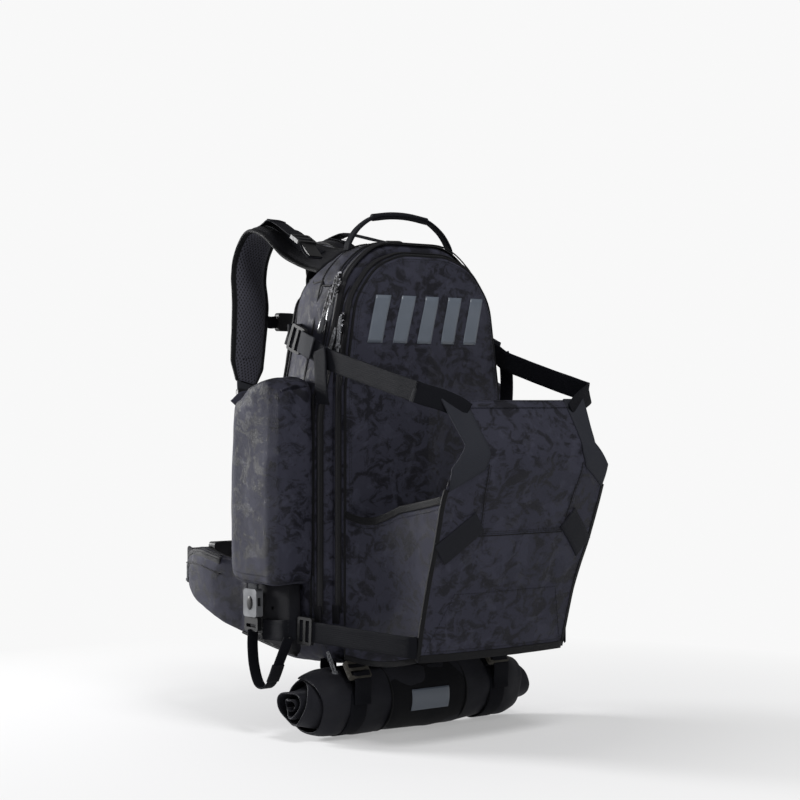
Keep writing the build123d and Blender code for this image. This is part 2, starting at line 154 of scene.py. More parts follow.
def over(height, a, b):
    """A height function of two coordinates, worked out over whole arrays."""
    return np.reshape([height(u, v) for u, v in zip(np.ravel(a), np.ravel(b))], np.shape(a))


def dip(at, middle, width):
    """1 at the middle and falling away to nothing on both sides."""
    return np.exp(-((at - middle) / width) ** 2)


# ---- meshes ----------------------------------------------------------------------------
def grid_normals(rows, wrap=False):
    along = np.gradient(rows, axis=0)
    padded = np.concatenate([rows[:, -1:], rows, rows[:, :1]], axis=1) if wrap else rows
    across = np.gradient(padded, axis=1)
    across = across[:, 1:-1] if wrap else across
    return unit(np.cross(along, across))


def wrinkled(rows, height, size, seed=0.0, stretch=(1, 1, 1), weight=1.0, wrap=False):
    """The grid with soft folds: height and size in millimetres, weighed alike, by row or by point."""
    rows = np.asarray(rows, float)
    flat = rows.reshape(-1, 3) / (np.asarray(stretch, float) * size)
    lift = np.array([noise.noise(Vector(p) + Vector((seed, 1.7 * seed, 3.1))) for p in flat])
    fine = np.array([noise.noise(Vector(p) * 2.3 + Vector((5.2, seed, 0.4))) for p in flat])
    weight = np.asarray(weight, float)
    weight = weight[:, None] if weight.ndim == 1 else weight
    shift = (height * (lift + 0.4 * fine)).reshape(rows.shape[:2]) * weight
    return rows + grid_normals(rows, wrap) * shift[..., None]


def grid(name, rows, materials, wrap=False, caps=(False, False), paint=None, subdivide=0, thick=0.0):
    """Mesh through rows of points. paint(row, column) picks a material; thick makes a cloth of a sheet."""
    rows = np.asarray(rows, float)
    count, width = rows.shape[:2]
    materials = materials if isinstance(materials, (list, tuple)) else [materials]
    full = np.concatenate([rows, rows[:, :1]], axis=1) if wrap else rows
    u = np.zeros((count, full.shape[1]))
    u[:, 1:] = np.cumsum(np.linalg.norm(np.diff(full, axis=1), axis=2), axis=1)
    v = np.zeros((count, full.shape[1]))
    v[1:] = np.cumsum(np.linalg.norm(np.diff(full, axis=0), axis=2), axis=0).mean(axis=1)[:, None]
    u -= u[:, -1:] / 2
    faces, uvs, picks = [], [], []
    for i in range(count - 1):
        for j in range(full.shape[1] - 1):
            k = (j + 1) % width
            faces.append((i * width + j, i * width + k, (i + 1) * width + k, (i + 1) * width + j))
            uvs += [(u[a, b], v[a, b]) for a, b in ((i, j), (i, j + 1), (i + 1, j + 1), (i + 1, j))]
            picks.append(paint(i, j) if paint else 0)
    points = rows.reshape(-1, 3)
    for at_end, row in zip(caps, (0, count - 1)):
        if at_end:
            ring = [row * width + j for j in range(width)]
            centre = len(points)
            points = np.vstack([points, rows[row].mean(axis=0)])
            for a, b in zip(ring, ring[1:] + ring[:1]):
                faces.append((a, b, centre))
                uvs += [(0, 0), (0.001, 0), (0, 0.001)]
                picks.append(paint(min(row, count - 2), 0) if paint else 0)
    data = bpy.data.meshes.new(name)
    data.from_pydata([tuple(p) for p in to_frame(points)], [], faces)
    layer = data.uv_layers.new(name="metric")
    layer.data.foreach_set("uv", (np.array(uvs) / 1000).ravel())
    for m in materials:
        data.materials.append(m)
    data.polygons.foreach_set("material_index", picks)
    data.polygons.foreach_set("use_smooth", [True] * len(faces))
    obj = bpy.data.objects.new(name, data)
    bpy.context.scene.collection.objects.link(obj)
    bm = bmesh.new()
    bm.from_mesh(data)
    bmesh.ops.remove_doubles(bm, verts=bm.verts, dist=2e-5)
    bmesh.ops.recalc_face_normals(bm, faces=bm.faces)
    bm.to_mesh(data)
    bm.free()
    if thick:
        solid = obj.modifiers.new("cloth", "SOLIDIFY")
        solid.thickness = thick / 1000
        solid.offset = 0
        solid.use_even_offset = True
    if subdivide:
        level = obj.modifiers.new("smooth", "SUBSURF")
        level.levels = level.render_levels = subdivide
    return obj


def joined(name, pieces):
    """Several meshes as one piece."""
    depsgraph = bpy.context.evaluated_depsgraph_get()
    bm = bmesh.new()
    materials = []
    for obj in pieces:
        for m in obj.data.materials:
            if m not in materials:
                materials.append(m)
    for obj in pieces:
        data = bpy.data.meshes.new_from_object(obj.evaluated_get(depsgraph))
        move = [materials.index(m) for m in data.materials]
        for face in data.polygons:
            face.material_index = move[face.material_index]
        bm.from_mesh(data)
        bpy.data.meshes.remove(data)
        bpy.data.objects.remove(obj)
    data = bpy.data.meshes.new(name)
    bm.to_mesh(data)
    bm.free()
    for m in materials:
        data.materials.append(m)
    obj = bpy.data.objects.new(name, data)
    bpy.context.scene.collection.objects.link(obj)
    return obj


def frames(path, across):
    """Unit vectors along a path, across a band on it and away from the band."""
    run = unit(np.gradient(path, axis=0))
    across = np.asarray(across, float)
    if across.ndim == 2 and len(across) != len(path):
        at = np.linspace(0, len(across) - 1, len(path))
        across = np.column_stack([np.interp(at, np.arange(len(across)), across[:, k]) for k in range(3)])
    across = np.broadcast_to(across, path.shape)
    across = unit(across - run * np.sum(across * run, axis=1, keepdims=True))
    return run, across, unit(np.cross(run, across))


def swept(name, path, across, section, material, closed=False):
    """Sweeps one closed section of (across, away) points along a path."""
    _, side, away = frames(path, across)
    if closed:
        run = unit(np.roll(path, -1, 0) - np.roll(path, 1, 0))
        across = np.broadcast_to(across, path.shape)
        side = unit(across - run * np.sum(across * run, axis=1, keepdims=True))
        away = unit(np.cross(run, side))
        path, side, away = (np.vstack([a, a[:1]]) for a in (path, side, away))
    return grid(name, on_path(path, side, away, section), material, wrap=True, caps=(not closed,) * 2)


def on_path(path, side, away, section):
    """Rows of points: a section of (across, away) points, or one per row, carried along a path."""
    section = np.broadcast_to(section, (len(path),) + np.shape(section)[-2:])
    return path[:, None] + side[:, None] * section[..., :1] + away[:, None] * section[..., 1:]


def band_section(width, thick):
    """Rounded thin rectangle."""
    half, h = width / 2, thick / 2
    turn = np.linspace(-math.pi / 2, math.pi / 2, 5)
    right = np.column_stack([half - h + h * np.cos(turn), h * np.sin(turn)])
    flat = np.linspace(1, -1, 7)[1:-1, None] * (half - h)
    top = np.column_stack([flat, np.full(len(flat), h)])
    return np.vstack([right, top, right[::-1] * (-1, 1), top[::-1] * (1, -1)])


def webbing(name, points, across, width, material, thick=1.8, n=48, wave=0.0, seed=0, side="left"):
    """Flat woven strap along points that are drawn for the left side."""
    path = curve(flip(points, side), n)
    across = flip(across, side)
    _, _, away = frames(path, across)
    if wave:
        ripple = np.array([noise.noise(Vector(p / 40) + Vector((seed, 0, 0))) for p in path])
        ends = smooth(0, 0.15, np.linspace(0, 1, n)) * smooth(0, 0.15, np.linspace(1, 0, n))
        path = path + away * (wave * ripple * ends)[:, None]
    return swept(name, path, across, band_section(width, thick), material)


def tube(name, points, radius, material, n=60, sides=8, closed=False, side="left"):
    """Round cord or piping along points that are drawn for the left side."""
    points = flip(points, side)
    path = resample(points, n, closed) if closed else curve(points, n)
    run = unit(np.gradient(path, axis=0))
    start = np.array([0, 0, 1.0]) if abs(run[0][2]) < 0.9 else np.array([1.0, 0, 0])
    across = []
    for r in run:
        start = unit(start - r * (start @ r))
        across.append(start)
    angle = np.linspace(0, 2 * math.pi, sides, endpoint=False)
    section = np.column_stack([np.cos(angle), np.sin(angle)]) * radius
    return swept(name, path, np.array(across), section, material, closed)


STITCH_LIFT = 0.25       # how far thread stands off the cloth


def stitches(name, path, away, material, step=4.2, length=2.9, radius=0.32, side="left"):
    """A row of thread stitches on a line of points, with the surface's normal at each or one for all."""
    path = flip(path, side)
    total = np.linalg.norm(np.diff(path, axis=0), axis=1).sum()
    n = max(2, int(total / step))
    fine = resample(path, n * 2 + 1)
    away = flip(away, side)
    if away.ndim == 2:
        away = unit(resample(away, n * 2 + 1))
    else:
        away = np.broadcast_to(unit(away), fine.shape)
    points, faces = [], []
    for k in range(n):
        mid, run = fine[2 * k + 1], unit(fine[2 * k + 2] - fine[2 * k])
        up = away[2 * k + 1]
        across = unit(np.cross(run, up))
        base = len(points)
        for t, r, h in ((-0.5, 0.3, -0.3), (-0.28, 1, 1), (0.28, 1, 1), (0.5, 0.3, -0.3)):
            centre = mid + run * t * length + up * (STITCH_LIFT * h)
            for c, s in ((-1, 0), (0, 1), (1, 0), (0, -1)):
                points.append(centre + (across * c + up * s) * radius * r)
        for ring in range(3):
            for j in range(4):
                a, b = base + ring * 4 + j, base + ring * 4 + (j + 1) % 4
                faces.append((a, b, b + 4, a + 4))
    data = bpy.data.meshes.new(name)
    data.from_pydata([tuple(p) for p in to_frame(points)], [], faces)
    data.materials.append(material)
    data.uv_layers.new(name="metric")
    data.polygons.foreach_set("use_smooth", [True] * len(faces))
    obj = bpy.data.objects.new(name, data)
    bpy.context.scene.collection.objects.link(obj)
    return obj


def dome(outline, spine, steps, surface):
    """Rings from a closed outline in to its spine: steps are (share of the way in, lift).

    surface maps a flat ring and its lift to space."""
    return np.array([surface(outline + (spine - outline) * share, lift) for share, lift in steps])


def piece(obj, body, slot, *nodes):
    """Hides the CAD nodes a finished piece stands for and attaches it to its body; for a bend, given as a tuple
    of two bodies and two points, it only bakes the piece's place into its mesh. The slot is not used.
    """
    if nodes:
        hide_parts(*nodes)
    if isinstance(body, str):
        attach(obj, body)
    else:
        a, b, start, end = body
        to_frame(start)
        to_frame(end)
        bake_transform(obj)
    return obj


# ---- materials ---------------------------------------------------------------------------
class Shader:
    """Builds one node material; maths and textures are added with short calls."""

    def __init__(self, name, **sockets):
        self.material = bpy.data.materials.new(name)
        self.material.use_nodes = True
        self.tree = self.material.node_tree
        self.tree.nodes.clear()
        out = self.tree.nodes.new("ShaderNodeOutputMaterial")
        self.bsdf = self.tree.nodes.new("ShaderNodeBsdfPrincipled")
        self.tree.links.new(self.bsdf.outputs[0], out.inputs[0])
        self.place = self.tree.nodes.new("ShaderNodeTexCoord")
        for key, value in sockets.items():
            self.bsdf.inputs[key.replace("_", " ")].default_value = value

    def set(self, socket, value):
        if isinstance(value, bpy.types.NodeSocket):
            self.tree.links.new(value, socket)
        else:
            socket.default_value = value

    def node(self, kind, inputs, out=0, **settings):
        made = self.tree.nodes.new("ShaderNode" + kind)
        for key, value in settings.items():
            setattr(made, key, value)
        for key, value in inputs.items():
            self.set(made.inputs[key], value)
        return made.outputs[out]

    def math(self, operation, a, b=0.0):
        return self.node("Math", {0: a, 1: b}, operation=operation)

    def noise(self, scale, detail=2.0, roughness=0.5, distortion=0.0, stretch=(1, 1, 1)):
        at = self.node("Mapping", {"Vector": self.place.outputs["Object"], "Scale": stretch})
        settings = {"Scale": scale, "Detail": detail, "Roughness": roughness, "Distortion": distortion}
        return self.node("TexNoise", {"Vector": at, **settings})

    def wave(self, period, direction, turn=0.0):
        """Even ridges over the cloth's UVs, period in metres."""
        at = self.node("Mapping", {"Vector": self.place.outputs["UV"], "Rotation": (0, 0, turn)})
        return self.node("TexWave", {"Vector": at, "Scale": math.pi / (10 * period)}, bands_direction=direction)

    def ramp(self, value, *stops):
        """Blends between stops of (position, grey level)."""
        made = self.tree.nodes.new("ShaderNodeValToRGB")
        band = made.color_ramp
        while len(band.elements) < len(stops):
            band.elements.new(0.5)
        for element, (at, tone) in zip(band.elements, stops):
            element.position = at
            element.color = (tone, tone, tone, 1)
        self.set(made.inputs[0], value)
        return made.outputs[0]

    def mix(self, share, a, b):
        """Blends two colours, each a socket or three linear channels."""
        made = self.tree.nodes.new("ShaderNodeMix")
        made.data_type = "RGBA"
        self.set(made.inputs["Factor"], share)
        for socket, tone in zip([s for s in made.inputs if s.type == "RGBA"], (a, b)):
            self.set(socket, tone if isinstance(tone, bpy.types.NodeSocket) else tuple(tone) + (1,))
        return [s for s in made.outputs if s.type == "RGBA"][0]

    def finish(self, colour, rough, height=None, depth=0.0003):
        self.set(self.bsdf.inputs["Base Color"], colour)
        self.set(self.bsdf.inputs["Roughness"], rough)
        if height is not None:
            bump = self.node("Bump", {"Height": height, "Strength": 1.0, "Distance": depth})
            self.set(self.bsdf.inputs["Normal"], bump)
        return self.material


def scaled(tone, factor):
    """A colour made darker or paler."""
    return tuple(factor * t for t in tone)


def weave(shader, period=0.0011):
    """Height of a plain weave, from the cloth's own UVs."""
    warp = shader.wave(period, "X")
    weft = shader.wave(period, "Y")
    return shader.math("MULTIPLY", warp, weft)


def camouflage():
    """Dark jacquard with tone-on-tone patches that break up at their edges."""
    s = Shader("camo_jacquard", Sheen_Weight=0.02, Sheen_Roughness=0.35, Specular_IOR_Level=0.16)
    large = s.noise(46, 5, 0.68, 0.9, stretch=(1, 1, 1.3))
    speck = s.noise(620, 2, 0.7)
    broken = s.math("ADD", large, s.math("MULTIPLY", s.math("SUBTRACT", speck, 0.5), 0.14))
    dark = s.ramp(broken, (0.435, 0.0), (0.520, 1.0))
    pale = s.ramp(s.noise(27, 4, 0.62, 0.6), (0.54, 0.0), (0.60, 1.0))
    tone = s.mix(dark, (0.0070, 0.0070, 0.0115), (0.0275, 0.0280, 0.0425))
    tone = s.mix(s.math("MULTIPLY", pale, 0.40), tone, (0.043, 0.044, 0.065))
    rough = s.ramp(dark, (0.0, 0.52), (1.0, 0.78))
    height = s.math("ADD", weave(s), s.math("MULTIPLY", speck, 0.8))
    return s.finish(tone, rough, height, 0.00022)


def plain_cloth(name, tone, rough=0.8, period=0.0012):
    s = Shader(name, Sheen_Weight=0.02, Sheen_Roughness=0.4, Specular_IOR_Level=0.14)
    cloud = s.noise(26, 3, 0.6)
    fine = s.noise(700, 2, 0.5)
    colour = s.mix(s.ramp(cloud, (0.3, 0.0), (0.7, 1.0)), scaled(tone, 0.82), scaled(tone, 1.15))
    colour = s.mix(s.math("MULTIPLY", fine, 0.25), colour, scaled(tone, 1.8))
    height = s.math("ADD", weave(s, period), fine)
    return s.finish(colour, s.ramp(cloud, (0.2, rough - 0.06), (0.8, rough + 0.06)), height, 0.00020)


def ribbed(name, tone, rough=0.62):
    """Woven strap: fine ribs across it and lines along it."""
    s = Shader(name, Specular_IOR_Level=0.06)
    ribs = s.wave(0.0015, "Y")
    lines = s.wave(0.0023, "X")
    fine = s.noise(900, 2, 0.5)
    colour = s.mix(s.math("MULTIPLY", ribs, 0.35), tone, scaled(tone, 1.7))
    colour = s.mix(s.math("MULTIPLY", fine, 0.25), colour, scaled(tone, 1.6))
    height = s.math("ADD", ribs, s.math("MULTIPLY", lines, 0.5))
    return s.finish(colour, s.ramp(fine, (0.3, rough - 0.05), (0.7, rough + 0.08)), height, 0.00014)


def spacer_mesh():
    """Knitted mesh: rows of small round holes, coloured near-black: partly the darker ground seen through them,
    partly painted shade inside them.
    """
    s = Shader("spacer_mesh", Sheen_Weight=0.05, Sheen_Roughness=0.4, Specular_IOR_Level=0.3)
    a = s.wave(0.0040, "X", turn=math.radians(30))
    b = s.wave(0.0040, "X", turn=math.radians(-30))
    holes = s.math("MULTIPLY", a, b)
    hole_shade_mask = s.ramp(holes, (0.30, 0.0), (0.62, 1.0))
    cloud = s.noise(30, 2, 0.5)
    yarn = s.mix(cloud, (0.032, 0.032, 0.044), (0.048, 0.048, 0.064))
    # painted shade: the holes are coloured near-black for the shade inside them as well as for the darker
    # ground
    colour = s.mix(hole_shade_mask, yarn, (0.0035, 0.0035, 0.005))
    return s.finish(colour, 0.82, s.math("SUBTRACT", 1.0, hole_shade_mask), 0.0005)


def plastic(name, tone, rough):
    s = Shader(name, Specular_IOR_Level=0.28)
    fine = s.noise(1500, 2, 0.5)
    wear = s.noise(60, 4, 0.6)
    worn = tuple(1.35 * t + 0.004 for t in tone)
    colour = s.mix(s.ramp(wear, (0.45, 0.0), (0.75, 1.0)), tone, worn)
    return s.finish(colour, s.ramp(wear, (0.3, rough - 0.06), (0.7, rough + 0.1)), fine, 0.00006)


def zip_coil():
    s = Shader("zip_coil", Specular_IOR_Level=0.25)
    teeth = s.wave(0.0013, "X")
    colour = s.mix(teeth, (0.002, 0.002, 0.003), (0.022, 0.022, 0.026))
    return s.finish(colour, s.ramp(teeth, (0.0, 0.7), (1.0, 0.52)), teeth, 0.0004)


def zip_tape():
    s = Shader("zip_tape", Specular_IOR_Level=0.3)
    fine = s.noise(800, 2, 0.5)
    ribs = s.wave(0.0010, "X")
    colour = s.mix(fine, (0.005, 0.005, 0.0065), (0.012, 0.012, 0.015))
    return s.finish(colour, 0.68, s.math("ADD", ribs, fine), 0.00015)


def metal(name, tone, rough):
    s = Shader(name, Metallic=1.0)
    fine = s.noise(500, 3, 0.6)
    colour = s.mix(fine, tone, scaled(tone, 1.3))
    return s.finish(colour, s.ramp(fine, (0.3, rough - 0.08), (0.7, rough + 0.1)), fine, 0.00005)


def speckled_cord(name, dark, pale, share=0.5):
    s = Shader(name, Sheen_Weight=0.15, Sheen_Roughness=0.5)
    strands = [s.wave(0.0022, "Y", turn=math.radians(angle)) for angle in (40, -40)]
    braid = s.math("MULTIPLY", *strands)
    fleck = s.node("TexVoronoi", {"Vector": s.place.outputs["Object"], "Scale": 520.0}, out=1)
    pick = s.ramp(fleck, (share - 0.03, 0.0), (share + 0.03, 1.0))
    colour = s.mix(pick, dark, pale)
    return s.finish(colour, 0.7, braid, 0.0004)


def reflective():
    """Grey print of tiny beads, a little glossy."""
    s = Shader("reflective_print", Specular_IOR_Level=0.6, Coat_Weight=0.2, Coat_Roughness=0.35)
    bead = s.node("TexVoronoi", {"Vector": s.place.outputs["Object"], "Scale": 900.0})
    cloud = s.noise(60, 3, 0.6)
    colour = s.mix(cloud, (0.068, 0.084, 0.110), (0.095, 0.114, 0.144))
    return s.finish(colour, s.ramp(cloud, (0.3, 0.38), (0.7, 0.52)), bead, 0.0001)


CAMO = camouflage()
PLAIN = plain_cloth("plain_cloth", (0.0052, 0.0053, 0.0074))
DEEP = plain_cloth("lining_cloth", (0.0034, 0.0035, 0.0048))
ROLL = plain_cloth("roll_cloth", (0.0105, 0.0108, 0.0145), 0.62)
BINDING = plain_cloth("binding_tape", (0.0034, 0.0035, 0.0046), 0.6, 0.0009)
WEB = ribbed("webbing_black", (0.0050, 0.0053, 0.0072), 0.70)
GREY_WEB = ribbed("webbing_grey", (0.022, 0.023, 0.027))
FLAP_WEB = ribbed("webbing_flap", (0.0200, 0.0212, 0.0268))
TAB_WEB = ribbed("webbing_tab", (0.0110, 0.0115, 0.0145))
MESH = spacer_mesh()
BLACK = plastic("black_plastic", (0.0045, 0.0046, 0.0055), 0.50)
GREY = plastic("grey_plastic", (0.135, 0.139, 0.148), 0.36)
GRIP = plastic("grip_grey", (0.055, 0.057, 0.063), 0.22)
OLIVE = plastic("olive_plastic", (0.040, 0.037, 0.031), 0.45)
COIL = zip_coil()
TAPE = zip_tape()
METAL = metal("gunmetal", (0.030, 0.030, 0.034), 0.45)
STAY = metal("stay_metal", (0.60, 0.60, 0.62), 0.35)
SHEET = plastic("frame_sheet", (0.50, 0.50, 0.50), 0.5)
CORD = speckled_cord("speckled_cord", (0.007, 0.007, 0.009), (0.17, 0.17, 0.185), 0.62)
GREY_CORD = speckled_cord("grey_cord", (0.055, 0.057, 0.065), (0.14, 0.145, 0.16))
THREAD = plain_cloth("thread", (0.0110, 0.0112, 0.0140), 0.55, 0.0006)
PRINT = reflective()


# ---- bag bodies ---------------------------------------------------------------------------
BAG = rounded(symmetric([(118, 88), (142, 130), (142, 390), (106, 560), (58, 600)]), 75, 200)
FRONT = rounded(symmetric([(109, 98), (127, 132), (127, 420), (111, 530), (79, 572), (37, 587)]), 70, 180)
BAG_OUT, FRONT_OUT = outward(BAG), outward(FRONT)
# depth and inset of the main compartment's skin, front to back
BAG_SIDE = [(17.6, 12), (18.6, 7), (21, 3), (26, 1.2), (33, -0.6), (60, -2.4), (90, -3), (125, -1.6)]
BAG_SIDE = curve(BAG_SIDE + [(146, 2.5), (157, 8.5), (163, 17), (165, 30)], 44)
# the same above the pockets, where the rear corners taper in towards the yoke
BAG_TAPER = [(17.6, 12), (18.6, 7), (21, 3), (26, 1.2), (33, -0.6), (60, -1.6), (90, 4.5), (112, 13)]
BAG_TAPER += [(135, 24), (150, 34), (158, 43), (163, 50), (165, 57)]


def bag_ring(y, lift=0.0):
    """One ring of the main compartment's skin, at a depth."""
    tapered = smooth(330, 430, BAG[:, 1])
    low = np.interp(y, BAG_SIDE[:, 0], BAG_SIDE[:, 1])
    high = np.interp(y, *zip(*BAG_TAPER))
    inset = low * (1 - tapered) + high * tapered - lift
    ring = BAG - BAG_OUT * inset[:, None]
    return at_depth(ring, y)


def from_ring(ring, low):
    """The part of a ring above a height, from the right foot over the top to the left foot."""
    keep = np.where(ring[:, 2] >= low)[0]
    return ring[keep[0]:keep[-1] + 1]


def face_y(x, z):
    """Crowned face of the front compartment, with its slack."""
    half = np.interp(z, [98, 132, 420, 530, 572, 587], [109, 127, 127, 111, 79, 37])
    crown = (1 - np.clip(np.abs(x) / (half - 6), 0, 1) ** 2.2) * smooth(96, 160, z) * smooth(590, 520, z)

    def slack(a, b):
        return noise.noise(Vector((a / 75, b / 60, 2.2))) + 0.5 * noise.noise(Vector((a / 30, b / 34, 7.7)))

    return -3.2 - 6.0 * crown - 1.6 * over(slack, x, z) * crown


def main_bag():
    rows = np.array([bag_ring(y) for y in BAG_SIDE[:, 0]])
    depth = BAG_SIDE[:, 0]
    soft = smooth(34, 55, depth)[:, None] * np.ones((1, len(BAG)))
    soft *= 0.5 + 0.8 * smooth(380, 520, rows[..., 2])
    rows = wrinkled(rows, 3.4, 62, 1.0, (1, 1.1, 0.8), soft, wrap=True)
    rows = wrinkled(rows, 1.3, 24, 4.0, (1, 1, 0.9), soft, wrap=True)
    front = bag_ring(depth[0]) * (0.9, 1, 1) + (0, 0.2, 0)
    rear = bag_ring(depth[-1]) * (0.4, 1, 0.4) + (0, 0.3, 200)
    rows = np.concatenate([[front], rows, [rear]])
    skin = grid("main_bag_skin", rows, CAMO, wrap=True, caps=(True, True), subdivide=1)
    piece(skin, "pack", "camo_fabric", "main_compartment")
    seams = []
    for y, radius in ((40, 1.2), (66, 1.0), (138, 1.3)):
        arc = from_ring(bag_ring(y, 0.6), 125)
        seams.append(tube("seam", arc, radius, BINDING, 150, 6))
    for y in (37.2, 42.6, 63.4, 68.6):
        arc = from_ring(bag_ring(y, 0.75), 125)
        seams.append(stitches("seam", arc, unit(arc - (0, y, 350)), THREAD))
    for side in SIDES:
        seams.append(tube("seam", panel_seam(548, side), 1.1, BINDING, 40, 6))
    piece(joined("main_bag_seams", seams), "pack", "camo_fabric")


def ring_at(ring, z, side):
    """The point of a ring at a height, on the named side."""
    half = ring[(ring[:, 0] < 0) == (side == "left")]
    return half[np.argmin(np.abs(half[:, 2] - z))]


def panel_seam(z, side):
    """Line across the side of the bag from front to back."""
    return [ring_at(bag_ring(y, 0.7), z + 10 * smooth(42, 140, y), side) for y in np.linspace(42, 150, 24)]


def front_bag():
    spine = np.column_stack([np.zeros(len(FRONT)), np.clip(FRONT[:, 1], 190, 520)])
    face = FRONT - FRONT_OUT * 6
    rows = []
    for share in (1.0, 0.85, 0.7, 0.55, 0.42, 0.3, 0.2, 0.12, 0.06, 0.03):
        flat = face + (spine - face) * share
        rows.append(at_depth(flat, face_y(flat[:, 0], flat[:, 1])))
    wall = [(7, -3.0), (5, -2.4), (4, -1.2), (3.2, 0.4), (1.6, 2.6), (0.6, 6), (0, 11), (-1, 15), (-2, 17.8)]
    for inset, y in wall + [(8, 18.2)]:
        flat = FRONT - FRONT_OUT * inset
        rows.append(at_depth(flat, y))
    skin = grid("front_bag_skin", rows, CAMO, wrap=True, subdivide=1)
    piece(skin, "pack", "camo_fabric", "front_compartment")
    edge = FRONT - FRONT_OUT * 3.2
    line = at_depth(edge, -0.6)
    seams = [tube("seam", line, 1.7, BINDING, 220, 8, closed=True)]
    for inset in (7.6, 10.4):
        flat = FRONT - FRONT_OUT * inset
        arc = from_ring(at_depth(flat, face_y(flat[:, 0], flat[:, 1]) + 0.1), 150)
        seams.append(stitches("seam", arc, (0, -1, 0), THREAD))
    piece(joined("front_bag_piping", seams), "pack", "camo_fabric")


def reflective_mark():
    bars = []
    for x in (-76, -38, 0, 38, 76):
        rows = []
        for t in np.linspace(0, 1, 12):
            lean = x + 14 * t
            flat = np.column_stack([np.linspace(lean - 18, lean + 4, 8), np.full(8, 476 + 58 * t)])
            rows.append(at_depth(flat, face_y(flat[:, 0], flat[:, 1]) - 0.45))
        bars.append(grid("bar", rows, PRINT, thick=0.3))
    piece(joined("reflective_bars", bars), "pack", "reflective_print", "reflective_mark")


def zip_band(name, outline, out, y, low, node):
    """Arched zip: coated tape on both sides of a raised coil."""
    half = [(6.2, -0.9), (5.4, 0.1), (3.0, 0.5), (2.2, 0.55), (1.6, 1.3), (0.8, 1.9)]
    profile = [(-u, v) for u, v in half] + [(0, 2.05)] + half[::-1]
    rows = []
    for dy, lift in profile:
        flat = outline + out * lift
        ring = at_depth(flat, y + dy)
        keep = np.where(outline[:, 1] >= low)[0]
        rows.append(resample(ring[keep[0]:keep[-1] + 1], 260))
    obj = grid(name, rows, [TAPE, COIL], paint=lambda i, j: 1 if 3 <= i <= 8 else 0)
    piece(obj, "pack", "zip_coil", node)
    parts = []
    for dy in (-8.4, 8.2):
        if y + dy < 3:
            continue
        flat = outline + out * 0.5
        arc = from_ring(at_depth(flat, y + dy), low)
        parts.append(tube("edge", arc, 1.0, BINDING, 150, 6))
    for side, sign in SIDES.items():
        foot = ring_at(at_depth(outline, y), low, side)
        a = foot + (sign * 1.6, 0, 9)
        b = foot + (sign * 1.2, 0, -13)
        parts.append(webbing("end", [a, b], (0, 1, 0), 13, PLAIN, 1.6, 10))
    return piece(joined(name + "_edges", parts), "pack", "zip_coil")


# ---- side pockets and lower side -----------------------------------------------------------
POCKET_PLAN = rounded([(-139, 36), (-186, 37), (-195, 60), (-195, 126), (-184, 146), (-139, 146)], 15, 96)


def side_pocket(side):
    centre = np.array([-152, 92.0])
    # share of the pocket's height, and how far its plan is drawn in
    steps = [(0.0, 0.40), (0.004, 0.12), (0.012, 0.035), (0.03, 0.010), (0.07, 0.0), (0.16, -0.006)]
    steps += [(0.30, -0.02), (0.45, -0.03), (0.6, -0.028), (0.74, -0.018), (0.86, -0.004), (0.93, 0.010)]
    steps += [(0.965, 0.03), (0.985, 0.065), (0.996, 0.13), (1.0, 0.26), (1.002, 0.5), (1.002, 0.92)]
    rows = []
    for share, inset in curve(steps, 60):
        plan = POCKET_PLAN + (centre - POCKET_PLAN) * inset
        plan = np.column_stack([np.minimum(plan[:, 0], -139), plan[:, 1]])
        low = np.interp(plan[:, 1], [36, 60, 110, 146], [189, 184, 186, 193])
        high = np.interp(plan[:, 1], [36, 52, 70, 100, 122, 146], [418, 426, 431, 422, 408, 402])
        high = high + 4 * smooth(-195, -150, plan[:, 0])
        rows.append(np.column_stack([plan, low + (high - low) * share]))
    rows = np.array(rows)
    out = 1 - smooth(-150, -141, rows[..., 0])
    rows = wrinkled(rows, 3.2, 70, 2.0, (1, 1, 1.3), out, wrap=True)
    upper = out * (0.35 + 0.9 * smooth(330, 420, rows[..., 2]))
    rows = wrinkled(rows, 1.8, 26, 5.0, (1, 1, 1.7), upper, wrap=True)
    skin = grid(f"side_pocket_skin_{side}", flip(rows, side), CAMO, wrap=True, caps=(True, True), subdivide=1)
    piece(skin, "pack", "camo_fabric", f"side_pocket_{side}")
    parts = []
    for z in (193.5, 197.5):
        ring = rows[int(np.argmin(np.abs(rows[:, 0, 2] - z)))]
        keep = ring[ring[:, 0] < -143]
        hem = keep[np.argsort(np.arctan2(keep[:, 1] - 92, -keep[:, 0] - 150))]
        out = unit((hem - (-150, 92, 0)) * (1, 1, 0))
        parts.append(stitches("hem", hem + (-0.5, 0, 0), out, THREAD, side=side))
    for y_at, lean in ((37, -1), (146, 1)):
        seam = [(-143, y_at + lean * 0.3, z) for z in np.linspace(196, 400 if lean > 0 else 414, 20)]
        parts.append(tube("edge", seam, 1.3, BINDING, 50, 6, side=side))
    fold = [(-156, 132, 410), (-172, 137, 411), (-184, 141, 401)]
    parts.append(webbing("fold", fold, (0, 0.5, 0.9), 16, CAMO, 2.2, 16, side=side))
    fold = [(-150, 44, 421), (-170, 43, 421.5), (-184, 46, 416)]
    parts.append(webbing("fold", fold, (0, 0.6, -0.8), 9, CAMO, 1.6, 16, side=side))
    piece(joined(f"side_pocket_edges_{side}", parts), "pack", "camo_fabric")


def side_face(x, bulge):
    """Maps a flat (y, z) outline on to the side of the bag, lifting outwards (to the left)."""
    return lambda flat, lift: np.column_stack([np.full(len(flat), x - lift * bulge), flat])


PAD_STEPS = [(0.0, 0.0), (0.0, 0.35), (0.03, 0.62), (0.08, 0.80), (0.18, 0.93), (0.35, 1.0)]
PAD_STEPS += [(0.6, 1.04), (0.85, 1.06), (1.0, 1.06)]


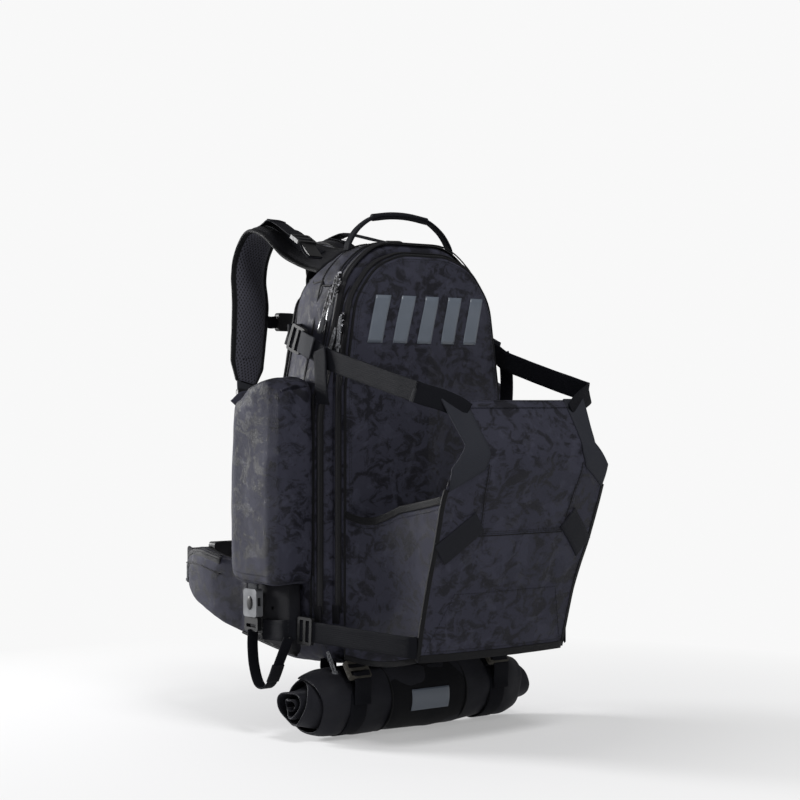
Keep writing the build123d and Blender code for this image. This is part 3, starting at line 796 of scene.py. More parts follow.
def flat_pad(name, outline, x, thick, side):
    """Padded panel on the side of the bag."""
    middle = (outline.max(axis=0) + outline.min(axis=0)) / 2
    size = (outline.max(axis=0) - outline.min(axis=0)) / 2
    reach = size - size.min() * 0.95
    spine = middle + np.clip((outline - middle) / size, -1, 1) * reach
    rows = dome(outline, spine, PAD_STEPS, side_face(x, thick))
    rows = wrinkled(rows, 0.9, 28, 3.0, wrap=True, weight=np.linspace(0, 1, len(PAD_STEPS)))
    return grid(name, flip(rows, side), PLAIN, wrap=True, caps=(True, False), subdivide=1)


def lower_sides():
    for side in SIDES:
        wing = rounded([(60, 97), (175, 116), (175, 206), (147, 206), (147, 184), (60, 184)], 8, 120)
        skin = flat_pad(f"belt_wing_skin_{side}", wing, -142, 8, side)
        piece(skin, "pack", "plain_fabric", "belt_wings")
        panel = rounded([(50, 120), (121, 120), (121, 190), (50, 190)], 7, 100)
        skin = flat_pad(f"lower_panel_skin_{side}", panel, -149.5, 17, side)
        piece(skin, "pack", "plain_fabric", "lower_side_panels")
        line = [(-165, 52, 121), (-165.8, 70, 120.4), (-165.8, 100, 120.4), (-165, 119, 121)]
        edges = [tube("edge", line, 1.5, BINDING, 40, 6, side=side)]
        line = [(-149, 62, 98.5), (-149.4, 110, 105.5), (-149, 173, 116.5)]
        edges.append(tube("edge", line, 1.8, BINDING, 40, 6, side=side))
        for y in (54, 117):
            line = [(-167.3, y, 126), (-167.6, y, 150), (-167.3, y, 180)]
            edges.append(stitches("edge", line, (-1, 0, 0), THREAD, side=side))
        piece(joined(f"lower_panel_edges_{side}", edges), "pack", "plain_fabric")


# ---- harness ---------------------------------------------------------------------------------
STRAP_LINE = [(-46, 118, 583), (-48, 150, 588), (-50, 186, 600), (-52, 204, 611), (-53, 226, 624)]
STRAP_LINE += [(-55, 256, 627), (-58, 276, 604), (-64, 279, 570), (-74, 262, 520), (-102, 233, 428)]
STRAP_HALF = [(0, 31), (0.45, 29), (0.75, 28), (0.93, 25), (1.0, 15)]
HALF_BAND = [0.25, 0.45, 0.6, 0.70, 0.76, 0.80, 0.85, 0.90, 0.95, 0.985, 1]
BAND_U = np.array([-u for u in reversed(HALF_BAND)] + [0] + HALF_BAND)


def padded_section(half, thick, edge=4.6):
    """Foam band with a bound edge: a thick middle, a crease, and a rounded rim on each side."""
    u = np.abs(BAND_U)
    rim = np.sqrt(np.clip(1 - ((u - 0.88) / 0.12) ** 2, 0, 1)) * edge / 2
    core = edge * 0.36 + (thick / 2 - edge * 0.36) * np.clip(1 - (u / 0.77) ** 4, 0, 1) ** 0.6
    h = np.where(u > 0.78, rim, core)
    top = np.column_stack([BAND_U * half, h])
    return np.vstack([top, (top * (1, -1))[::-1][1:-1]])


def strap_path(side, n):
    """Centre line of a strap drawn on the left; the right one lies a little flatter on its arch."""
    sag = 0 if side == "left" else 13
    drop = [0, 0.2, 0.7, 0.9, 1, 1, 0.8, 0.4, 0.1, 0]
    return curve([(x, y, z - sag * share) for (x, y, z), share in zip(STRAP_LINE, drop)], n)


def shoulder_strap(side):
    n = 110
    path = strap_path(side, n)
    share = np.linspace(0, 1, n)
    half = np.interp(share, *zip(*STRAP_HALF))
    thick = np.interp(share, [0, 0.15, 0.9, 1], [8, 13, 13, 9])
    sections = np.array([padded_section(a, b) for a, b in zip(half, thick)])
    across = np.tile([1.0, 0, 0], (n, 1))
    across[:, 2] = np.interp(share, [0, 0.2, 0.42, 0.6, 1], [0.62, 0.32, 0.0, 0.0, 0.16])
    _, sideways, away = frames(path, across)
    rows = on_path(path, sideways, away, sections)
    rows = wrinkled(rows, 1.2, 40, 6.0, wrap=True)
    top = len(BAND_U)

    def paint(i, j):
        u = BAND_U[j] if j < top else BAND_U[2 * top - 2 - j]
        if abs(u) > 0.79:
            return 0
        return 1 if j >= top - 1 else 2

    # away points to the wearer's side or to the outside, depending on the sign of the cross product
    inner_first = away[n // 2][1] < 0
    mats = [BINDING, PLAIN, MESH] if inner_first else [BINDING, MESH, PLAIN]
    skin = grid(f"shoulder_strap_skin_{side}", flip(rows, side), mats, wrap=True, caps=(True, True),
                paint=paint, subdivide=1)
    body = f"shoulder_strap_{side}"
    bend = ("pack", body, (0, 152, 600), (0, 196, 600))
    piece(skin, bend, "padding", body)
    outer = away if not inner_first else -away
    lift = (thick / 2 + 1.0)[:, None]
    parts = [webbing("daisy", (path + outer * lift)[8:100], across[8:100], 20, WEB, 1.6, 90, side=side)]
    for k in range(24, 98, 12):
        for lift in (0, 2):
            bar = path[k] + outer[k] * (thick[k] / 2 + 2.0) + (0, 0, lift)
            row = [bar - across[k] * 9, bar + across[k] * 9]
            parts.append(stitches("tack", row, outer[k], THREAD, 1.6, 2.2, side=side))
    low = 99
    bar = path[low] - outer[low] * (thick[low] / 2 + 0.2)
    row = [bar - across[low] * 11, bar + across[low] * 11]
    parts.append(stitches("tack", row, -outer[low], THREAD, 3.2, 2.6, 0.5, side=side))
    piece(joined(f"shoulder_strap_webbing_{side}", parts), bend, "webbing")
    tip = path[-1]
    foot = [path[-4], tip, (-103.8, 229.6, 414)]
    piece(webbing(f"strap_foot_{side}", foot, (1, 0, 0.16), 26, GREY_WEB, 3.4, 16, side=side),
          body, "webbing")
    low = [(-107.0, 226.0, 399), (-107.9, 224.6, 394.6), (-112, 216, 355), (-119, 200, 295), (-126, 180.5, 236)]
    piece(webbing(f"strap_webbing_{side}", low, (1, 0.25, 0), 20, WEB, 1.6, 60, wave=2.0, seed=3, side=side),
          ("pack", body, (0, 184, 300), (0, 222, 300)), "webbing", "strap_webbings")
    tail = [(-106.5, 229, 404), (-108, 233, 388), (-110, 232, 366), (-112, 229, 352)]
    piece(webbing(f"strap_tail_{side}", tail, (1, 0.1, 0), 20, WEB, 1.6, 30, side=side),
          body, "webbing")
    sag = 0 if side == "left" else 11
    upper = [(-61, 228, 641 - sag), (-66, 203, 633 - sag * 0.8), (-72, 176, 622 - sag * 0.4), (-77, 154, 613.6)]
    piece(webbing(f"load_lifter_skin_{side}", upper, (1, 0, 0), 20, WEB, 1.8, 40, side=side),
          ("pack", body, (0, 160, 630), (0, 216, 630)), "webbing", "load_lifters")
    patch = np.array([(-56, 252, 634), (-58, 240, 637.5), (-61, 228, 640), (-64, 214, 637.5)]) - (0, 0, sag)
    piece(webbing(f"lifter_patch_{side}", patch, (1, 0, 0), 22, WEB, 1.8, 20, side=side),
          body, "webbing")
    tail = [(-78, 146, 613), (-80, 137, 607), (-82, 124, 592), (-84, 110, 584)]
    piece(webbing(f"lifter_tail_{side}", tail, (1, 0, 0), 20, WEB, 1.6, 30, side=side),
          "pack", "webbing")
    dress(f"strap_ladder_lock_{side}", BLACK, 0.8)


def yoke():
    n = 40
    path = curve([(0, 177, 528), (0, 181, 555), (0, 176, 579), (0, 160, 589), (0, 138, 592), (0, 116, 592)], n)
    half = np.interp(np.linspace(0, 1, n), [0, 0.5, 1], [42, 46, 56])
    sections = np.array([padded_section(h, 9, 4.0) for h in half])
    _, across, away = frames(path, (1, 0, 0))
    rows = on_path(path, across, away, sections)
    rows[..., 2] -= 0.0042 * rows[..., 0] ** 2 * smooth(550, 585, rows[..., 2])
    rows = wrinkled(rows, 1.0, 34, 8.0, wrap=True)
    skin = grid("yoke_skin", rows, PLAIN, wrap=True, caps=(True, True), subdivide=1)
    piece(skin, "pack", "plain_fabric", "yoke")


def sternum():
    for side, sign in SIDES.items():
        end = -34 if side == "left" else 2.4
        start = sign * 52
        line = [(start, 257, 510), ((start + end) / 2, 258.4, 509), (end, 258, 510)]
        run = webbing(f"sternum_webbing_skin_{side}", line, (0, 0, 1), 16, WEB, 1.8, 24)
        to_plug = ("shoulder_strap_right", "sternum_plug", (40, 258, 510), (10, 258, 510))
        body = "shoulder_strap_left" if side == "left" else to_plug
        piece(run, body, "webbing", f"sternum_webbing_{side}")
    dress("sternum_socket", BLACK, 1.0)
    dress("sternum_plug", BLACK, 0.6)


FIN_LINE = [(-146, 160), (-146.5, 178), (-155, 215), (-151, 262), (-139, 294), (-127, 316)]


def hip_fin(side):
    n = 60
    path = curve([(x, y, 0) for x, y in FIN_LINE], n)
    y = path[:, 1]
    low = np.interp(y, [160, 178.5, 262, 290, 306, 316], [116, 117, 147, 163, 175, 186])
    high = np.interp(y, [160, 178.5, 240, 262, 290, 306, 316], [207, 207, 219, 218, 210, 201, 192])
    thick = np.interp(y, [160, 178, 235, 285, 305, 316], [9, 15, 20, 20, 15, 8])
    run = unit(np.gradient(path, axis=0))
    out = np.column_stack([-run[:, 1], run[:, 0], np.zeros(n)])
    angle = np.linspace(0, 2 * math.pi, 36, endpoint=False)
    rows = []
    for k in range(n):
        c, s = np.cos(angle), np.sin(angle)
        side_shift = np.sign(c) * np.abs(c) ** 0.8 * thick[k] / 2 * (1 + 0.15 * (c > 0))
        z = (low[k] + high[k]) / 2 + np.sign(s) * np.abs(s) ** 0.75 * (high[k] - low[k]) / 2
        rows.append(np.column_stack([(path[k] + out[k] * side_shift[:, None])[:, :2], z]))
    rows = wrinkled(np.array(rows), 1.8, 36, 9.0, wrap=True)

    def paint(i, j):
        """Mesh inside, camouflage outside and binding along both edges."""
        if j in (8, 9, 26, 27):
            return 2
        return 1 if 9 < j < 26 else 0

    skin = grid(f"hip_fin_skin_{side}", flip(rows, side), [CAMO, MESH, BINDING], wrap=True, caps=(True, True),
                paint=paint, subdivide=1)
    body = f"hip_fin_{side}"
    bend = ("pack", body, (0, 166, 160), (0, 192, 160))
    piece(skin, bend, "padding", body)
    parts = []
    sel = np.where((y > 205) & (y < 300))[0]
    for share, size in ((0.90, 1.1), (0.70, 0.8)):
        line = [rows[k][int(9 - (1 - share) * 20)] + out[k] * 0.8 for k in sel]
        parts.append(tube("zip", line, size, BINDING if share > 0.8 else TAPE, 50, 6, side=side))
    line = [rows[k][5] + out[k] * 0.5 for k in sel]
    parts.append(webbing("zip", line, (0, 0, 1), 9, TAPE, 1.0, 50, side=side))
    line = [rows[k][5] + out[k] * 1.1 for k in sel]
    parts.append(webbing("zip", line, (0, 0, 1), 2.8, COIL, 1.4, 50, side=side))
    piece(joined(f"hip_fin_trim_{side}", parts), bend, "webbing")
    tongue = [(-134, 312, 194), (-130.5, 322.5, 193.6), (-122, 330.5, 193), (-100, 333, 193), (-81, 333, 193)]
    piece(webbing(f"hip_webbing_skin_{side}", tongue, (0, 0, 1), 38, WEB, 2.0, 40, side=side),
          body, "webbing", f"hip_webbing_{side}")
    tab = [(-143, 292, 193), (-137, 308, 193.6), (-129, 322, 193.4)]
    piece(webbing(f"hip_tab_{side}", tab, (0, 0, 1), 44, PLAIN, 5.0, 24, side=side),
          body, "plain_fabric")
    dress("hip_belt_socket" if side == "left" else "hip_belt_plug", BLACK, 1.4)
    pull = f"hip_zip_pull_{side}"
    loops = cord_pull(f"{pull}_cord", (-157, 284, 196), (0, 0, -1), (0, 1, 0), 24, GREY_CORD, 0.9, side)
    piece(loops, pull, "pull_cord", pull)


def back():
    right = [(124, 100), (130, 200), (126, 338), (88, 424), (66, 532), (46, 550)]
    outline = rounded(symmetric(right), 24, 160)
    spine = np.column_stack([np.zeros(160), np.clip(outline[:, 1], 200, 480)])
    steps = [(0.0, 0.0), (0.0, 0.5), (0.02, 0.8), (0.06, 0.95), (0.3, 1.0), (0.6, 1.0), (1.0, 1.0)]
    rows = dome(outline, spine, steps, lambda p, h: at_depth(p, 164.8 + 9 * h))
    rows = wrinkled(rows, 0.6, 30, wrap=True, weight=[0, 0, 1, 1, 1, 1, 1])
    panel = grid("back_panel_skin", rows, MESH, wrap=True, caps=(True, False), subdivide=1)
    piece(panel, "pack", "spacer_mesh", "back_panel")
    edge = outline - outward(outline) * 1.0
    piece(tube("back_panel_rim", at_depth(edge, 172), 2.2, BINDING, 220, 8, closed=True),
          "pack", "webbing")
    levels = {"low": (236, 372, 112, 104), "high": (382, 512, 88, 62)}
    steps = [(0.0, 0.0), (0.0, 0.3), (0.03, 0.6), (0.09, 0.82), (0.2, 0.95), (0.4, 1.0), (0.7, 1.0), (1.0, 1.0)]
    for side in SIDES:
        for level, (z0, z1, wide, narrow) in levels.items():
            pad = rounded([(-wide, z0), (-18, z0), (-18, z1), (-narrow, z1)], 16, 120)
            centre = -(18 + (wide + narrow) / 2) / 2
            spine = np.column_stack([np.full(120, centre), np.clip(pad[:, 1], z0 + 44, z1 - 44)])

            def shape(p, h):
                groove = 0.30 * dip(p[:, 1], (z0 + z1) / 2, 4.5) + 0.2 * dip(p[:, 0], centre, 4.5)
                return at_depth(p, 173.5 + 19 * h * (1 - groove * (h > 0.5)))

            rows = dome(pad, spine, curve(steps, 34), shape)
            skin = grid(f"back_pad_skin_{level}_{side}", flip(rows, side), MESH, wrap=True,
                        caps=(True, False), subdivide=1)
            piece(skin, "pack", "padding", "back_pads")
    pad = rounded(symmetric([(96, 106), (118, 128), (118, 200), (80, 222)]), 18, 140)
    spine = np.column_stack([np.clip(pad[:, 0], -70, 70), np.full(140, 164.0)])

    def lumbar(p, h):
        groove = 0.28 * dip(p[:, 0], 0, 5.0) + 0.16 * dip(np.abs(p[:, 0]), 60, 4.0)
        return at_depth(p, 173.5 + 27 * h * (1 - groove * (h > 0.5)))

    steps = [(0.0, 0.0), (0.0, 0.3), (0.04, 0.62), (0.12, 0.84), (0.26, 0.96), (0.5, 1.0), (1.0, 1.0)]
    rows = dome(pad, spine, curve(steps, 36), lumbar)
    skin = grid("lumbar_pad_skin", rows, MESH, wrap=True, caps=(True, False), subdivide=1)
    piece(skin, "pack", "padding", "lumbar_pad")


def haul_loop():
    rise = [(84, 590), (80, 602), (66, 619), (42, 633), (14, 636.5)]
    path = [(-x, 46, z) for x, z in rise] + [(x, 46, z) for x, z in reversed(rise)]
    piece(webbing("haul_loop_skin", path, (0, 1, 0), 12, WEB, 3.4, 90),
          ("pack", "haul_loop", (0, 46, 592), (0, 46, 606)), "webbing", "haul_loop")
    grip = [(-44, 46, 632.6), (-14, 46, 636.4), (14, 46, 636.4), (44, 46, 632.6)]
    piece(tube("haul_loop_grip", grip, 4.6, PLAIN, 40, 12),
          "haul_loop", "plain_fabric")


# ---- carrier flap ------------------------------------------------------------------------------
FLAP_SIDE = [(102, -121), (179, -140), (240, -162), (293, -179), (325, -191), (350, -193)]
FLAP_SIDE = curve(FLAP_SIDE + [(378, -178), (410, -160)], 80)
FLAP_HALF = [(104, 116), (179, 118), (240, 123), (293, 126), (322, 124), (355, 101), (407, 84)]


def flap_y(z):
    """Depth of the flap's side edges at a height."""
    return np.interp(z, FLAP_SIDE[:, 0], FLAP_SIDE[:, 1])


def flap_half(z):
    return np.interp(z, *zip(*FLAP_HALF))


def flap_point(x, z, lift=0.0):
    """A point of the flap's outer face, crowned between its side edges."""
    x, z = np.broadcast_arrays(np.asarray(x, float), np.asarray(z, float))
    crown = 10 * (1 - np.clip(np.abs(x) / flap_half(z), 0, 1) ** 2.6)

    def slack(a, b):
        broad = noise.noise(Vector((a / 60, 4.4, b / 70)))
        return 2.2 * broad + 0.9 * noise.noise(Vector((a / 24, 1.4, b / 30)))

    ripple = over(slack, x, z) * (0.4 + 0.6 * smooth(110, 80, np.abs(x)))
    y = flap_y(z) - crown + ripple - lift
    return np.stack([x, y, z], axis=-1)


def flap_strip(name, line, width, material, lift, thick=1.6):
    """Webbing sewn flat on the flap along a line of (x, z)."""
    flat = resample(line, 40)
    run = unit(np.gradient(flat, axis=0))
    side = np.column_stack([-run[:, 1], run[:, 0]])
    rows = []
    for t in np.linspace(-0.5, 0.5, 7):
        edge = flat + side * width * t
        rows.append(flap_point(edge[:, 0], edge[:, 1], lift))
    return grid(name, rows, material, thick=thick)


def flap_corner_band(sign):
    """Webbing down an upper edge of the flap, mitred at the notch and tapering out at the widest point."""
    outer = resample([(114, 408), (103, 356), (124.5, 330), (122.5, 306)], 60)
    inner = resample([(79, 408), (74, 345), (80, 328), (121.5, 304)], 60)
    rows = []
    for t in np.linspace(0, 1, 9):
        edge = inner + (outer - inner) * t
        rows.append(flap_point(sign * edge[:, 0], edge[:, 1], 1.9))
    return grid("edge", rows, FLAP_WEB, thick=1.7)


def carrier_flap():
    heights = np.linspace(105, 407, 72)
    across = np.linspace(-1, 1, 57)
    rows = np.array([flap_point(across * flap_half(z), np.full(57, z)) for z in heights])
    cloth = grid("carrier_flap_cloth", rows, CAMO, thick=2.2, subdivide=1)
    piece(cloth, "carrier_flap", "camo_fabric", "carrier_flap")
    trims = []
    for sign in SIDES.values():
        trims.append(flap_corner_band(sign))
        trims.append(flap_strip("tab", [(sign * 70, 268), (sign * 115, 230)], 29, TAB_WEB, 1.8))
        side_edge = [(sign * (flap_half(z) - 1.2), z) for z in np.linspace(107, 306, 24)]
        trims.append(flap_strip("hem", side_edge, 5, BINDING, 0.4, 3.2))
        seam = [(sign * (66 + 9 * smooth(250, 335, z)), z) for z in np.linspace(251, 334, 40)]
        x, z = np.array(seam).T
        trims.append(tube("seam", flap_point(x, z, 0.7), 0.9, BINDING, 60, 6))
        for offset in (-2.2, 2.2):
            trims.append(stitches("stitch", flap_point(x + offset, z, 1.5), (0, -1, 0), THREAD))
    top = np.linspace(-80, 80, 40)
    trims.append(flap_strip("hem", [(x, 402) for x in top], 9, CAMO, 1.0, 1.8))
    for z in (398, 406):
        trims.append(stitches("stitch", flap_point(top, np.full(40, z), 2.3), (0, -1, 0), THREAD))
    seam = np.linspace(-67, 67, 60)
    for z in (253, 255.5):
        trims.append(stitches("stitch", flap_point(seam, np.full(60, z), 1.4), (0, -1, 0), THREAD))
    trims.append(tube("seam", flap_point(seam, np.full(60, 251), 0.6), 0.9, BINDING, 60, 6))
    panel = resample([(-108, 117), (-81, 183), (81, 183), (108, 117)], 160)
    trims.append(stitches("stitch", flap_point(panel[:, 0], panel[:, 1], 1.4), (0, -1, 0), THREAD))
    hem = np.linspace(-114, 114, 50)
    trims.append(flap_strip("hem", [(x, 109) for x in hem], 9, BINDING, 0.9, 2.4))
    trims.append(stitches("stitch", flap_point(hem, np.full(50, 116.5), 1.3), (0, -1, 0), THREAD))
    piece(joined("carrier_flap_trim", trims), "carrier_flap", "webbing", "flap_webbing", "flap_tabs")


def gussets():
    for side in SIDES:
        columns = 34
        s = np.linspace(0, 1, columns)
        rows = []
        for t in np.linspace(0, 1, 34):
            top = 272 - 9 * np.sin(math.pi * np.clip(s * 1.7, 0, 1)) + 24 * s**1.7
            bottom = 99 - 5 * np.sin(math.pi * s) + 7 * s**2
            z = bottom + (top - bottom) * t
            far_x = -(flap_half(z) - 2.5)
            far_y = flap_y(z) + 2.2
            x = -123.5 + (far_x + 123.5) * s
            y = -0.5 + (far_y + 0.5) * s
            belly = 7 * np.sin(math.pi * s) * math.sin(math.pi * min(1, t * 0.9 + 0.1))
            rows.append(np.column_stack([x + belly * 0.8, y, z]))
        rows = np.array(rows)
        rows = wrinkled(rows, 3.0, 46, 11.0, (1, 1, 1.6), np.outer(np.ones(34), np.sin(math.pi * s) ** 0.5))
        cloth = grid(f"gusset_cloth_{side}", flip(rows, side), CAMO, thick=1.8, subdivide=1)
        bend = ("pack", "carrier_flap", (0, -1, 200), (0, -165, 200))
        piece(cloth, bend, "camo_fabric", "gussets")
        hem = rows[-1]
        parts = [webbing("hem", hem - (0.6, 0, 1.5), (0, 0, 1), 9, BINDING, 2.8, 50, side=side)]
        parts.append(webbing("hem", rows[0] + (-0.4, 0, 1.5), (0, 0, 1), 7, BINDING, 2.6, 50, side=side))
        parts.append(stitches("hem", rows[-3] + (-1.3, 0, 0), (-1, 0, 0), THREAD, side=side))
        for k in (0, -1):
            parts.append(tube("hem", rows[:, k], 1.4, BINDING, 50, 6, side=side))
        piece(joined(f"gusset_hems_{side}", parts), bend, "webbing")


def flap_straps():
    for side in SIDES:
        bend = ("pack", "carrier_flap", (0, 44, 470), (0, -150, 430))
        run = [(-152, 76, 486.5), (-150, 62, 481), (-148.9, 47.6, 475.4), (-147.4, 27, 466), (-146, 7, 456.5)]
        run += [(-143.5, -30, 446), (-140, -90, 430.5), (-137.4, -140, 418), (-137, -148.5, 416)]
        piece(webbing(f"upper_strap_skin_{side}", run, (0, 0.2, 1), 25, WEB, 1.9, 70,
                      wave=1.4, seed=5, side=side),
              bend, "webbing", "upper_straps")
        turn = [(-138, -143, 417.5), (-137.4, -149.6, 415.6), (-130, -154.5, 412.6)]
        turn += [(-112, -163, 407), (-94, -170, 399), (-84, -174, 392)]
        piece(webbing(f"upper_strap_fold_{side}", turn, (0.28, 0, 1), 25, WEB, 1.9, 40, side=side),
              "carrier_flap", "webbing")
        bend = ("pack", "carrier_flap", (0, 14, 130), (0, -112, 130))
        run = [(-158, 50, 131), (-155.6, 36, 130.5), (-153.4, 22, 130), (-147, -12, 128.4)]
        run += [(-136, -70, 125.6), (-126.5, -116, 123.2), (-118.6, -126.5, 122.6)]
        piece(webbing(f"lower_strap_skin_{side}", run, (0, 0, 1), 25, WEB, 1.9, 70,
                      wave=1.0, seed=8, side=side),
              bend, "webbing", "lower_straps")
        upper = [(-109.5, 101, 489), (-124, 92, 488), (-144, 80.5, 487.2), (-151.6, 75, 486.6)]
        upper += [(-152.2, 71, 485.6)]
        piece(webbing(f"upper_anchor_{side}", upper, (0, 0, 1), 25, WEB, 2.0, 24, side=side),
              "pack", "webbing", "flap_anchor_tabs")
        lower = [(-158.4, 49, 131), (-163, 54, 130.8), (-169.6, 63, 130), (-170.2, 80, 129), (-170.0, 102, 128)]
        piece(webbing(f"lower_anchor_{side}", lower, (0, 0, 1), 25, WEB, 2.0, 24, side=side),
              "pack", "webbing")
        tail = [(-151.6, 52, 478), (-152.4, 40, 473), (-151.6, 28, 468.5)]
        piece(webbing(f"upper_keeper_{side}", tail, (0, 0, 1), 27.5, GREY_WEB, 1.8, 24, side=side),
              "pack", "webbing")
        tail = [(-149.2, 17, 467), (-150.6, 13, 452), (-151.0, 11.5, 430), (-149.4, 10.5, 408)]
        tail += [(-147.4, 10.5, 402)]
        piece(webbing(f"upper_tail_{side}", tail, (0, 1, 0.05), 23, WEB, 1.8, 30, side=side),
              "pack", "webbing")
    dress("flap_ladder_locks", BLACK, 1.2)


# ---- tool roll and hanging loop ------------------------------------------------------------------
ROLL_AXIS = np.array([28.0, 44.0])


def roll_ring(x, radius, start=0, end=360, n=72):
    """Points round the tool roll's axis at x, between angles in degrees."""
    angle = np.radians(np.linspace(start, end, n, endpoint=end - start < 360))
    y, z = ROLL_AXIS[0] + radius * np.cos(angle), ROLL_AXIS[1] + radius * np.sin(angle)
    return np.column_stack([np.full(n, x), y, z])


def tool_roll():
    turns, n = 3.7, 230
    angle = np.linspace(0, turns * 2 * math.pi, n)
    radius = 39.2 - 9.6 * np.maximum(angle / (2 * math.pi) - 0.75, 0) - 1.2 * smooth(0, 2 * math.pi, angle)
    reach = 162 + 22.5 * smooth(0.95, 1.5, angle / (2 * math.pi)) + 3 * np.sin(angle * 1.7)
    rows = []
    for a, r, x_end in zip(angle + math.radians(62), radius, reach):
        x = np.linspace(-1, 1, 90) * x_end
        cinch = 2.2 * (np.exp(-((np.abs(x) - 112) / 13) ** 2)) + 6.5 * smooth(134, 172, np.abs(x))
        pressed = 1 - 0.10 * smooth(140, 180, np.abs(x)) * math.sin(a) ** 2
        lobed = np.maximum(r - cinch, 3.0) * pressed + 1.4 * math.sin(3 * a + 0.6)
        y, z = ROLL_AXIS[0] + lobed * math.cos(a), ROLL_AXIS[1] + lobed * math.sin(a)
        rows.append(np.column_stack([x, y, z]))
    rows = wrinkled(np.array(rows), 3.4, 34, 13.0, (1.5, 1, 1), 1.0)
    cloth = grid("tool_roll_cloth", rows, ROLL, thick=2.4, subdivide=1)
    piece(cloth, "pack", "plain_fabric", "tool_roll")
    rings = [roll_ring(x, 40.9 - 1.2 * smooth(50, 60, abs(x))) for x in np.linspace(-60, 60, 26)]
    rings = wrinkled(rings, 1.0, 40, 14.0, wrap=True)
    wrap_band = grid("roll_band_cloth", rings, DEEP, wrap=True, thick=2.0, subdivide=1)
    piece(wrap_band, "pack", "plain_fabric", "roll_band")
    hems = []
    for x in (-60, 60):
        hems.append(tube("hem", roll_ring(x, 41.0), 1.4, BINDING, 90, 6, closed=True))
    patch = np.array([roll_ring(x, 42.6, 166, 202, 12) for x in np.linspace(-30, 30, 20)])
    hems.append(grid("patch", patch.transpose(1, 0, 2), PRINT, thick=0.5))
    piece(joined("roll_band_trim", hems), "pack", "webbing")
    straps = []
    for x in (-112, 112):
        ring = roll_ring(x, 40.6, 62, 392, 70)
        back = [(x, 44, 79), (x, 47, 84), (x, 46, 94)]
        front = [(x, -2.0, 70), (x, -10, 78), (x, -6, 90), (x, 6, 96), (x, 22, 96)]
        tail = [(x + 2, -14, 84), (x + 3, -17, 72), (x + 4, -15, 56), (x + 4, -15.5, 44)]
        for name, line, thick, n in (("loop", ring, 1.8, 110), ("riser", back, 1.8, 16),
                                     ("riser", front, 1.8, 24), ("tail", tail, 1.7, 24)):
            straps.append(webbing(name, line, (1, 0, 0), 25, WEB, thick, n))
    piece(joined("roll_straps_skin", straps), "pack", "webbing", "roll_straps")
    dress("roll_ladder_locks", OLIVE, 1.2)
    cord = cord_pull("roll_zip_cord", (-136, 18, 106), (0.25, -0.25, -1), (1, 0, 0), 34, GREY_CORD, 1.2, "left")
    piece(cord, "pack", "pull_cord")


def hanging_loop():
    x = -176.8
    low = [(x, 113, 128), (x, 114, 108), (x - 0.5, 110, 84), (x - 1, 100, 64), (x - 1, 86, 59)]
    low += [(x, 74, 67), (x, 63, 86), (x + 3, 56, 104), (x + 8, 52, 121)]
    piece(webbing("hanging_loop_skin", low, (1, 0.05, 0), 16, WEB, 1.9, 90),
          ("pack", "side_plug", (0, 66, 90), (0, 108, 100)), "webbing", "hanging_loop")
    keeper = [(x - 0.3, 72.5, 68.5), (x, 66.5, 79), (x + 0.6, 62, 89)]
    piece(webbing("loop_keeper", keeper, (1, 0.05, 0), 18.5, PLAIN, 4.0, 12),
          ("pack", "side_plug", (0, 66, 90), (0, 108, 100)), "webbing")
    tab = [(x, 113, 174), (x + 1, 113, 184), (x + 8, 112, 189)]
    piece(webbing("side_socket_tab", tab, (0, 1, 0), 20, GREY_WEB, 2.0, 14),
          "pack", "webbing")
    dress("side_socket", GREY, 1.4)
    dress("side_plug", BLACK, 0.8)
    turn = np.linspace(0, 2 * math.pi, 28, endpoint=False)
    oval = np.column_stack([np.full(28, x - 5.3), 113 + 5.5 * np.cos(turn), 160 + 8.5 * np.sin(turn)])
    centre = oval.mean(axis=0)
    steps = ((1, 0), (0.9, 0.9), (0.55, 1.2), (0.02, 1.3))
    rows = [centre + (oval - centre) * size - (rise, 0, 0) for size, rise in steps]
    button = grid("side_buckle_button", rows, BLACK, wrap=True, subdivide=1)
    piece(button, "pack", "grey_plastic")


# ---- small parts --------------------------------------------------------------------------------
def cord_pull(name, start, along, aside, length, material, radius, side, grip=None):
    """Loop of thin cord knotted near its end, or held in a moulded grip."""
    start, along, aside = np.asarray(start, float), unit(along), unit(aside)
    aside = unit(aside - along * (aside @ along))
    spread = radius * 1.25
    body = length if grip is None else length * 0.68
    parts = []
    for sign in (-1, 1):
        stations = ((0, 0.4), (0.2, spread), (0.75, spread * 1.1), (1, 0.5))
        line = [start + along * body * down + aside * sign * out for down, out in stations]
        parts.append(tube("cord", line, radius, material, 30, 8, side=side))
    if grip is not None:
        a, b = start + along * body * 0.94, start + along * length
        path = curve([a, (a + b) / 2, b], 14)
        _, across, away = frames(path, aside)
        turn = np.linspace(0, 2 * math.pi, 14, endpoint=False)
        section = np.column_stack([4.8 * np.cos(turn), 3.0 * np.sin(turn)])
        size = np.sin(np.linspace(0.28, math.pi - 0.28, 14)) ** 0.35
        rows = on_path(path, across, away, section * size[:, None, None])
        parts.append(grid("grip", flip(rows, side), grip, wrap=True, caps=(True, True), subdivide=1))
    else:
        centre = start + along * body * 0.80
        turn = np.linspace(0, 2 * math.pi, 16, endpoint=False)[:, None]
        ring = aside * 2.2 * np.cos(turn) + np.cross(aside, along) * 2.0 * np.sin(turn)
        ring = centre + radius * ring + along * 0.8 * np.sin(2 * turn)
        for turns in (0, 1.6):
            parts.append(tube("knot", ring + along * radius * turns, radius * 1.1, material, 26, 8,
                              closed=True, side=side))
    return joined(name, parts)


SLOPES = {"main": ((-142, 390), (-106, 560), 27, 9.4), "front": ((-127, 420), (-111, 530), 11.5, 9.4)}
